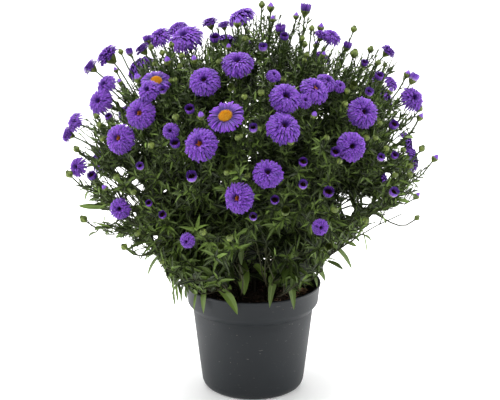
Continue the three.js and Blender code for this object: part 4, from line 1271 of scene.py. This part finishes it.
# Radius of each growth at its foot and at its end, and rows of points along it
THICKNESSES = [
    (branches, 1.2, 1.0, 8), (twigs, 0.95, 0.8, 8), (shoots, 1.0, 0.55, 8), (sprigs, 0.65, 0.45, 5),
]
MAIN_THICKNESS = (2.6, 1.3, 14)
stem_parts = {k: [] for k in range(STEMS_ROUND + 1)}
for k, parts in stem_parts.items():
    for growths, foot, tip, rows in THICKNESSES:
        lines = lines_of(growths, k)
        if lines:
            parts.append(of_kind(tubes(lines, foot, tip, rows, TWIG_SIDES), 0))
    parts.append(of_kind(tubes([stem_line(k)], *MAIN_THICKNESS, MAIN_SIDES), 0))


# Leaves
# Narrow lance-shaped leaves without stalks, set round the stems by the golden angle: up to 45 mm
# long over the pot's rim and a third of that among the heads. They fold a little along the midrib.

LEAF_SHAPE = np.array([0.5, 0.95, 0.97, 0.6, 0.04])
LEAF_ROWS = len(LEAF_SHAPE)
LEAF_HEIGHTS = [100, 150, 200, 260, 340]
LEAF_LENGTHS = [34, 30, 24, 18, 14]
LEAF_WIDTHS = [7.0, 5.6, 4.4, 3.6, 3.0]
LEAF_DROOPS = [0.7, 0.6, 0.45, 0.35, 0.25]
# Degrees between a leaf and its stem at shares of the way up, and how much they vary
OPENING_SHARES = [0, 0.7, 1]
OPENINGS = [68, 55, 24]
OPENING_SPREAD = 9
LEAF_FOLD = 0.35
# Leaves on each growth: how many, between which shares of its length, how much smaller they end and
# their size. The necks of the flower twigs carry small ones besides
LEAF_SETS = [
    (shoots, 20, 0.4, 1.0, 0.45, 1.0), (twigs, 20, 0.03, 0.98, 0.5, 0.8),
    (twigs, 14, 0.62, 0.99, 0.8, 0.6), (branches, 15, 0.4, 0.98, 0.9, 1.0),
    (sprigs, 10, 0.15, 1.0, 0.6, 0.75),
]
MAIN_LEAVES = (40, 0.08, 0.75, 0.9, 1.1)
CARRIER_THICKNESS = (0.9, 0.6, 6)


def leaves_along(lines, per_line, first, last, smaller_to, size):
    """Leaves on cubic curves between two shares of their length, smaller towards the end."""
    lines = np.asarray(lines)
    steps = np.arange(per_line)
    share = first + (last - first) * (steps / (per_line - 1))[None, :]
    share = np.clip(share + draws.normal(0, 0.3 / per_line, (len(lines), per_line)), 0, 1)
    root = curved(lines, share).reshape(-1, 3)
    ahead = heading(lines, share).reshape(-1, 3)
    turn = (steps[None, :] * GOLDEN_ANGLE + draws.uniform(0, 6.3, (len(lines), 1))).ravel()
    sideways, rise = crosswise(ahead)
    outward = sideways * np.cos(turn)[:, None] + rise * np.sin(turn)[:, None]
    progress = np.broadcast_to((steps / (per_line - 1))[None, :], share.shape).ravel()
    count = len(root)
    opening = np.interp(progress, OPENING_SHARES, OPENINGS) + draws.normal(0, OPENING_SPREAD, count)
    opening = np.radians(opening)[:, None]
    start = ahead * np.cos(opening) + outward * np.sin(opening)
    shrink = np.interp(progress, [0, 0.5, 1], [1, 0.92, smaller_to]) * size
    shrink = shrink * draws.uniform(0.75, 1.2, count)
    height = root[:, 2]
    length = np.interp(height, LEAF_HEIGHTS, LEAF_LENGTHS) * shrink
    width = np.interp(height, LEAF_HEIGHTS, LEAF_WIDTHS) * shrink * draws.uniform(0.85, 1.15, count)
    droop = np.interp(height, LEAF_HEIGHTS, LEAF_DROOPS) * draws.uniform(0.3, 1.5, count)
    return bent_leaves(root, start, ahead, length, width, droop)


def bent_leaves(root, start, ahead, length, width, droop):
    """Leaves that set off in the direction start and bend down by droop towards the tip."""
    count = len(root)
    rows = np.linspace(0, 1, LEAF_ROWS)
    way = unit(start[:, None, :] - UP * (droop[:, None] * rows ** 1.3)[..., None])
    steps = way * (length / (LEAF_ROWS - 1))[:, None, None]
    centre = root[:, None, :] + np.cumsum(steps, axis=1) - steps[:, :1]
    upper = unit(ahead[:, None, :] - way * np.sum(way * ahead[:, None, :], axis=-1, keepdims=True))
    side = np.cross(way, upper)
    twist = (draws.normal(0, 0.35, count)[:, None] * rows)[..., None]
    side, upper = twisted(side, upper, twist)
    half = width[:, None] / 2 * LEAF_SHAPE[None, :]
    # No leaf hangs below the underside or in a gap, the hollow or the sight of a head
    tips = centre[:, -1]
    kept = above_underside(tips) & ~in_a_gap(centre).any(axis=1)
    kept &= ~in_the_hollow(centre).any(axis=1) & ~before_a_head(centre[:, 1:]).any(axis=1)
    # Those deep inside are darker: partly as older leaves, partly as painted shade of the crown
    depth = np.linalg.norm(tips - CROWN, axis=1) / HEAD_SHELL
    tone = np.interp(depth, [0.5, 0.95], [0.1, 1]) * draws.uniform(0, 1, count) ** 1.6
    # Leaves higher in the crown are painted darker: painted shade
    tone = tone * np.interp(tips[:, 2], [150, 240, 340], [1, 0.85, 0.65])
    return blades(centre[kept], side[kept], upper[kept], half[kept], LEAF_FOLD, tone[kept])


# Long leaves that arch over the rim at the sides and the back: turn in degrees, tip radius, tip
# height, width
RIM_LEAVES = [
    (19, 100, 120, 7), (30, 80, 102, 8), (47, 92, 112, 6), (69, 79, 104, 7), (83, 84, 108, 8),
    (101, 79, 99, 6), (118, 96, 118, 7), (136, 80, 103, 8), (158, 88, 108, 6), (172, 78, 104, 7),
]
RIM_ROOT = (44, 126)
RIM_TOP = 138
RIM_CLEAR = 70.5
ARCH_FOLD = 0.25
ARCH_SHARES = np.linspace(0, 1, 9)
ARCH_SHAPE = np.interp(ARCH_SHARES, [0, 0.3, 0.6, 0.85, 1], [0.5, 0.85, 1, 0.6, 0.03])
# Those of the front and of the lower edge, as the photograph shows them: across and up of the root
# and how far it is from the middle of the pot, the same for the tip, and the width
HANGING_LEAVES = [
    (-54, -86, 58, -61, -115, 78, 5), (-49, -85, 58, -51, -117, 76, 8.5),
    (-40, -87, 58, -16, -118, 76, 10), (-39, -82, 56, -22, -92, 66, 7),
    (-12, -64, 40, -9, -98, 62, 14), (-14, -35, 95, -12, -68, 88, 7), (1, -67, 48, 13, -82, 58, 8),
    (25, -74, 68, 16, -85, 74, 5), (25, -75, 68, 17, -111, 76, 8), (26, -74, 68, 35, -85, 74, 5),
    (26, -73, 68, 16, -73, 74, 5), (26, -73, 68, 20, -64, 72, 5), (27, -73, 68, 46, -80, 74, 5),
    (27, -72, 68, 43, -70, 74, 4.5), (34, -80, 60, 42, -113, 77, 9), (52, -67, 64, 48, -86, 68, 10),
    (57, -59, 78, 74, -83, 90, 9), (-65, -91, 72, -57, -96, 76, 5), (83, -47, 90, 102, -72, 106, 9),
    (77, -63, 84, 93, -72, 98, 6), (112, -30, 116, 118, -61, 122, 5),
    (114, -36, 118, 122, -42, 124, 3.5), (102, -36, 108, 110, -44, 114, 4.5),
    (93, -43, 98, 107, -48, 110, 5), (67, -70, 80, 74, -84, 84, 7),
    (132, -16, 136, 138, -29, 140, 5), (135, -7, 140, 151, -4, 154, 4.5),
    (149, 0, 154, 161, -2, 164, 4.5), (159, 8, 164, 168, 2, 170, 3.5),
    (157, 65, 164, 165, 64, 168, 3), (-162, -33, 166, -170, -38, 172, 3),
    (-152, -31, 156, -149, -41, 154, 4), (-120, -32, 126, -142, -39, 144, 7),
    (-111, -41, 116, -106, -65, 110, 6), (-106, -54, 112, -111, -64, 114, 5),
    (-97, -58, 104, -109, -80, 112, 7), (-88, -58, 96, -81, -93, 90, 10),
    (-93, -63, 98, -84, -88, 92, 8), (-82, -90, 88, -80, -110, 88, 6),
    (-77, -84, 84, -73, -101, 84, 6), (-76, -86, 82, -84, -99, 86, 5),
    (-79, -82, 86, -77, -106, 86, 6.5), (-72, -84, 80, -74, -108, 82, 5.5),
    (-68, -73, 84, -84, -91, 90, 9), (-70, -92, 74, -68, -102, 76, 6),
    (-57, -84, 68, -79, -89, 84, 6), (-150, -8, 160, -180, -6, 184, 5.5),
    (-154, -23, 160, -152, -15, 160, 3.5), (-72, -78, 80, -66, -97, 78, 7),
    (-60, -80, 66, -70, -96, 78, 6), (60, -76, 70, 66, -90, 78, 6), (-30, -50, 92, -38, -78, 84, 7),
    (-14, -38, 24, -8, -66, 30, 8), (-3, -42, 20, -4, -68, 26, 8), (6, -40, 20, 0, -66, 24, 8),
    (46, -52, 88, 40, -78, 82, 7), (-47, -58, 88, -34, -80, 80, 7), (61, -48, 88, 54, -72, 84, 7),
]


def arched(root, over, tip, outward, width):
    """Long leaves along bows from root past over to tip, their upper sides outward."""
    t = ARCH_SHARES[None, :, None]
    centre = (1 - t) ** 2 * root[:, None] + 2 * t * (1 - t) * over[:, None] + t ** 2 * tip[:, None]
    way = unit(np.gradient(centre, axis=1))
    side = unit(np.cross(way, outward[:, None]))
    upper = np.cross(side, way)
    half = width[:, None] / 2 * ARCH_SHAPE[None, :]
    return blades(centre, side, upper, half, ARCH_FOLD, draws.uniform(0.25, 0.85, len(root)))


def rim_point(turn, reach, height):
    """A point by its turn in degrees, its reach from the upright axis and its height."""
    turn = math.radians(turn)
    return np.array([reach * math.cos(turn), reach * math.sin(turn), height])


def rim_leaves(rows):
    """The leaves that rise over the rim at the sides and the back."""
    turn, reach, height, width = np.array(rows, float).T
    outward = level_ways(np.radians(turn))
    over = outward * np.maximum(reach * 0.86, RIM_CLEAR)[:, None] + UP * RIM_TOP
    tip = outward * reach[:, None] + UP * height[:, None]
    return arched(outward * RIM_ROOT[0] + UP * RIM_ROOT[1], over, tip, outward, width)


def on_sight(across, up, reach):
    """The near point of a line of sight that is reach from the upright axis, or nearest to that."""
    sight = sight_at(across, up)
    level = sight[:2] @ sight[:2]
    half = VIEW_EYE[:2] @ sight[:2]
    rest = VIEW_EYE[:2] @ VIEW_EYE[:2] - reach ** 2
    return VIEW_EYE + sight * (-half - math.sqrt(max(half ** 2 - level * rest, 0))) / level


def hanging_roots(rows):
    """Where those leaves grow from."""
    return np.array([on_sight(*row[:3]) for row in rows])


def carrying_twigs(lines, roots):
    """Thin twigs from the nearest stems out to the roots of leaves that stand away from them."""
    along = curved(np.array(lines), np.linspace(0, 1, 60)[None]).reshape(-1, 3)
    along = along[along[:, 2] > SOIL_TOP]
    ways = []
    for root in roots:
        above = np.clip(along[:, 2] - root[2], 0, 99)
        near = along[np.argmin(np.linalg.norm(along - root, axis=1) + 0.8 * above)]
        step = root - near
        ways.append([near, near + step * (0.35, 0.35, 0.7), near + step * (0.7, 0.7, 1.0), root])
    return of_kind(tubes(ways, *CARRIER_THICKNESS, TWIG_SIDES), 0)


def hanging_leaves(rows):
    """The leaves set out as the photograph shows them."""
    root = hanging_roots(rows)
    tip = np.array([on_sight(*row[3:6]) for row in rows])
    # Those that grow from inside the pot arch over its rim
    arch = np.array([(0.74, 0.74, 0.06) if row[2] < 75 else (0.6, 0.6, 0.36) for row in rows])
    over = root + (tip - root) * arch
    outward = unit((root + tip) * (0.5, 0.5, 0) + UP * 25)
    return arched(root, over, tip, outward, np.array([row[6] for row in rows], float))


# Leaf blades with the low shine of a thin cuticle
leaf = new_material("aster_leaf_blade", {"IOR": 1.42, "Specular IOR Level": 0.35, "Roughness": 0.55})
place = add_node(leaf, "ShaderNodeTexCoord").outputs["Object"]
across, along, tone = places_on_blade(leaf)
# Old dark leaves and young yellower ones, and painted shade deep in and high in the crown
body = add_node(leaf, "ShaderNodeMix", {
    "data_type": "RGBA", 6: linear("#0f1608"), 7: linear("#6f8a38"),
}, {0: tone}).outputs[2]
# Patches about 6 mm across
patch = add_node(leaf, "ShaderNodeTexNoise", {"Scale": 160.0, "Detail": 3.0},
                 {"Vector": place}).outputs["Fac"]
patched = add_node(leaf, "ShaderNodeMix", {
    "data_type": "RGBA", "blend_type": "OVERLAY", 0: 0.35,
}, {6: body, 7: patch}).outputs[2]
# Pale midrib, a tenth of the blade's width
off_middle = add_node(leaf, "ShaderNodeMath", {"operation": "SUBTRACT", 1: 0.5},
                      {0: across}).outputs["Value"]
from_middle = add_node(leaf, "ShaderNodeMath", {"operation": "ABSOLUTE"},
                       {0: off_middle}).outputs["Value"]
rib = add_node(leaf, "ShaderNodeMapRange", {
    "From Min": 0.09, "From Max": 0.03, "To Min": 0.0, "To Max": 0.45,
}, {"Value": from_middle}).outputs["Result"]
ribbed = add_node(leaf, "ShaderNodeMix", {
    "data_type": "RGBA", 7: linear("#7a8f52"),
}, {0: rib, 6: patched}).outputs[2]
# Side veins run forward from the midrib, a vein every eighth of the blade
slant = add_node(leaf, "ShaderNodeMath", {"operation": "MULTIPLY_ADD", 1: -0.5},
                 {0: from_middle, 2: along}).outputs["Value"]
veins = add_node(leaf, "ShaderNodeMath", {"operation": "PINGPONG", 1: 0.06},
                 {0: slant}).outputs["Value"]
relief = add_node(leaf, "ShaderNodeMath", {"operation": "ADD"},
                  {0: veins, 1: from_middle}).outputs["Value"]
bump = add_node(leaf, "ShaderNodeBump", {"Strength": 0.35, "Distance": 0.0015},
                {"Height": relief}).outputs["Normal"]
finish_with(leaf, {"Base Color": ribbed, "Normal": bump})

for k, parts in stem_parts.items():
    for growths, *how in LEAF_SETS:
        lines = lines_of(growths, k)
        if lines:
            parts.append(of_kind(leaves_along(lines, *how), 1))
    parts.append(of_kind(leaves_along([stem_line(k)], *MAIN_LEAVES), 1))
    grown = lines_of(branches + twigs + shoots + sprigs, k) + [stem_line(k)]
    own = [row for row in RIM_LEAVES if stem_of(rim_point(*row[:3])) == k]
    if own:
        parts.append(of_kind(rim_leaves(own), 1))
        parts.append(carrying_twigs(grown, [rim_point(row[0], *RIM_ROOT) for row in own]))
    own = [row for row in HANGING_LEAVES if stem_of(on_sight(*row[3:6])) == k]
    if own:
        parts.append(of_kind(hanging_leaves(own), 1))
        parts.append(carrying_twigs(grown, hanging_roots(own)))


# Buds, half-open heads and the green cups under the blooms
# Each head is held in a cup of overlapping pointed bracts. Buds are closed green balls or show a
# violet tip, and half-open heads are a brush of short upright rays round a dark hollow.

BRACT_SHAPE = np.array([0.7, 1.0, 0.75, 0.1])
BRACTS_ROUND = 9
BRACT_WIDTH = 0.42
CUP_RAY_SHAPE = np.array([0.8, 1.0, 1.0, 0.6])
FLESH_MAP = 0.8
FLESH_SIDES = 9
HEAD_SPIN = 0.7

# Bracts are yellower than the leaves, and their tips are darker
bract = new_material("yellow_green_bract", {"IOR": 1.42, "Roughness": 0.55})
_, along, tone = places_on_blade(bract)
body = add_node(bract, "ShaderNodeMix", {
    "data_type": "RGBA", 6: linear("#3e4c20"), 7: linear("#78883a"),
}, {0: tone}).outputs[2]
tip = add_node(bract, "ShaderNodeMapRange", {"From Min": 0.6, "From Max": 1.0, "To Max": 0.7},
               {"Value": along}).outputs["Result"]
tipped = add_node(bract, "ShaderNodeMix", {
    "data_type": "RGBA", 7: linear("#33441a"),
}, {0: tip, 6: body}).outputs[2]
finish_with(bract, {"Base Color": tipped})

# The rays of buds and of young heads pale towards their feet
pale_ray = new_material("pale_young_ray_floret", {"IOR": 1.4, "Roughness": 0.55})
_, along, tone = places_on_blade(pale_ray)
body = add_node(pale_ray, "ShaderNodeMix", {
    "data_type": "RGBA", 6: linear("#5f2ba8"), 7: linear("#9064cc"),
}, {0: tone}).outputs[2]
above_foot = add_node(pale_ray, "ShaderNodeMapRange", {"From Min": 0.3, "From Max": 0.6},
                      {"Value": along}).outputs["Result"]
footed = add_node(pale_ray, "ShaderNodeMix", {
    "data_type": "RGBA", 6: linear("#ab94c6"),
}, {0: above_foot, 7: body}).outputs[2]
finish_with(pale_ray, {"Base Color": footed})

# Closed disc florets deep in a half-open head, painted almost black with a hint of brown as shade
shaded_hollow = tubular_floret("shade_painted_hollow_floret", 0.75, "#1a0b09", "#5e3f14")


def scaled_ball(radius, length, rings_of_scales, tip_radius, low):
    """Overlapping bracts round a bud: from the foot outward round its belly to its closing tips."""
    parts = []
    rows = np.linspace(0, 1, len(BRACT_SHAPE))
    for number in range(rings_of_scales):
        sweep = 0.28 * number + rows * 0.62
        turn = (np.arange(BRACTS_ROUND) + 0.5 * (number % 2)) * 2 * math.pi / BRACTS_ROUND
        turn = turn + draws.normal(0, 0.05, BRACTS_ROUND)
        belly = np.sin(np.clip(sweep, 0, 1) * math.pi * (0.5 + 0.5 * (1 - tip_radius)))
        out = radius * (0.16 + 0.9 * belly) * (1 + 0.05 * rows)
        high = low + length * np.clip(sweep, 0, 1.1)
        radial = level_ways(turn)[:, None, :]
        centre = radial * out[None, :, None] + UP * high[None, :, None]
        parts.append(upright_blades(centre, radial, radius * BRACT_WIDTH * BRACT_SHAPE, 0.3))
    return gathered(parts)


def flesh(radius, low, high):
    """The rounded body inside a bud, closed but for a pinprick that its bracts cover."""
    steps = np.linspace(0.05, 0.98, 7) * math.pi
    profile = [(radius * math.sin(a), low + (high - low) * (1 - math.cos(a)) / 2) for a in steps]
    points, faces = turned(profile, FLESH_SIDES)
    return {
        "points": points, "faces": np.array(faces), "blade": np.full((len(points), 2), FLESH_MAP),
        "tone": np.full((len(points), 2), 0.5),
    }


def upright_rays(radius, low, high, count, half, lean):
    """Short rays standing in a ring; lean is how far their tips fall out, or in if negative."""
    rows = np.linspace(0, 1, len(CUP_RAY_SHAPE))
    turn = (np.arange(count) + draws.normal(0, 0.12, count)) * 2 * math.pi / count
    radial = level_ways(turn)[:, None, :]
    tops = high + draws.normal(0, 0.03, count)
    out = radius + lean * rows ** 1.5 + 0.06 * np.sin(rows * math.pi)
    level = low + (tops[:, None] - low) * rows[None, :]
    centre = radial * out[None, :, None] + UP * level[..., None]
    return upright_blades(centre, radial, half * CUP_RAY_SHAPE, 0.25)


# Forms of each kind of head, 1 wide, sitting with the end of the twig at the origin. Kinds number
# the materials of a leafy stem: stem, leaf, bract, violet ray, pale ray, dark hollow
def bud_form():
    """A closed green ball."""
    return of_kind(gathered([scaled_ball(0.48, 1.0, 4, 0.15, -0.1), flesh(0.39, -0.1, 0.9)]), 2)


def violet_bud_form():
    """A bud that has opened far enough to show its folded rays."""
    scales = of_kind(scaled_ball(0.43, 0.7, 3, 0.7, -0.1), 2)
    tip = gathered([
        upright_rays(0.34, 0.3, 0.95, 12, 0.12, -0.2), upright_rays(0.2, 0.4, 1.05, 8, 0.1, -0.14),
        flesh(0.32, 0.1, 1.0),
    ])
    return gathered([scales, of_kind(tip, 4)])


def cup_form(ring_kind):
    """A half-open head: two rings of rays round a low floor of florets."""
    scales = of_kind(scaled_ball(0.4, 0.6, 3, 0.9, -0.6), 2)
    ring = gathered([
        upright_rays(0.37, -0.25, 0.5, 18, 0.085, 0.1), upright_rays(0.32, -0.25, 0.44, 16, 0.08, 0.06),
    ])
    floor = gathered([
        upright_rays(0.26, -0.25, 0.24, 14, 0.07, 0.0), upright_rays(0.16, -0.25, 0.18, 10, 0.07, 0.0),
        upright_rays(0.06, -0.25, 0.16, 6, 0.07, 0.0),
    ])
    return gathered([scales, of_kind(ring, ring_kind), of_kind(floor, 2 if ring_kind == 2 else 5)])


def green_cup_form():
    """The small cup under an open bloom."""
    return of_kind(scaled_ball(0.17, 0.34, 4, 1.0, -0.34), 1)


def side_cup_form():
    """The bigger, yellower cup that shows under a bloom seen from its side."""
    return of_kind(scaled_ball(0.23, 0.36, 4, 0.9, -0.34), 2)


forms = {
    "green_bud": [bud_form() for _ in range(3)],
    "violet_bud": [violet_bud_form() for _ in range(3)],
    "cup": [cup_form(3), cup_form(4), cup_form(3)],
    "faded_cup": [cup_form(2)],
    "bloom": [green_cup_form() for _ in range(2)],
}
side_cup = side_cup_form()
for number, head in enumerate(heads):
    choice = [side_cup] if head.get("edge_on") else forms[head["kind"]]
    form = choice[number % len(choice)]
    set_in_place = stood(form, head["at"], head["face"], head["size"], HEAD_SPIN * number)
    stem_parts[head["stem"]].append(set_in_place)

stem_materials = [stem_green, leaf, bract, ray, pale_ray, shaded_hollow]
for k, parts in stem_parts.items():
    blade_piece(f"aster_stem_{k + 1}", gathered(parts), stem_materials, f"leafy_stem_{k + 1}")


# Floor, light and camera
# A pale studio floor with soft boxes above, in front and to both sides, and a long lens at the
# photograph's height.

# Matt white sheet; light comes through it from below, as on a light table
floor_paint = new_material("pale_studio_floor", {
    "Roughness": 0.9, "Emission Color": (1, 1, 1, 1), "Emission Strength": 0.16,
})
place = add_node(floor_paint, "ShaderNodeTexCoord").outputs["Object"]
grain = add_node(floor_paint, "ShaderNodeTexNoise", {"Scale": 3.0}, {"Vector": place}).outputs["Fac"]
tint = add_node(floor_paint, "ShaderNodeMix", {
    "data_type": "RGBA", 6: linear("#f1f1f1"), 7: linear("#f6f6f6"),
}, {0: grain}).outputs[2]
finish_with(floor_paint, {"Base Color": tint})
FLOOR_CORNERS = [(-6000, -6000, 0), (6000, -6000, 0), (6000, 9000, 0), (-6000, 9000, 0)]
floor = mesh_piece("studio_floor", FLOOR_CORNERS, [(0, 1, 2, 3)], [floor_paint])

world = bpy.data.worlds.new("studio")
bpy.context.scene.world = world
world.use_nodes = True
world.node_tree.nodes["Background"].inputs["Color"].default_value = (1, 1, 1, 1)
world.node_tree.nodes["Background"].inputs["Strength"].default_value = 0.38

# Soft boxes, turned to a point low in the crown: name, place, size in metres, power in watts
LIT_POINT = Vector((0, 0, 0.2))
SOFT_BOXES = [
    ("key", (-0.2, -1.2, 2.3), 1.5, 33.0),
    ("left", (-1.6, 0.1, 0.6), 1.2, 23.0),
    ("right", (1.6, 0.1, 0.6), 1.2, 19.0),
    ("top", (0.0, 0.1, 2.2), 1.8, 33.0),
    ("backdrop", (0.0, 1.7, 2.4), 2.6, 105.0),
]
for name, place, size, power in SOFT_BOXES:
    light = bpy.data.lights.new(f"soft_box_{name}", "AREA")
    light.size = size
    light.energy = power
    lamp = bpy.data.objects.new(f"soft_box_{name}", light)
    lamp.location = place
    lamp.rotation_euler = (LIT_POINT - Vector(place)).to_track_quat("-Z", "Y").to_euler()
    bpy.context.scene.collection.objects.link(lamp)

# Millimetres, all three
CAMERA_LENS = 160.8
CAMERA_SENSOR = 36
CAMERA_ASIDE = -3.1
camera = bpy.data.objects.new("camera", bpy.data.cameras.new("camera"))
camera.data.lens = CAMERA_LENS
camera.data.sensor_width = CAMERA_SENSOR
camera.location = (VIEW_EYE + VIEW_RIGHT * CAMERA_ASIDE) * MM
camera.rotation_euler = Vector(-VIEW_BACK).to_track_quat("-Z", "Y").to_euler()
bpy.context.scene.collection.objects.link(camera)
bpy.context.scene.camera = camera
bpy.context.scene.view_settings.view_transform = "Standard"
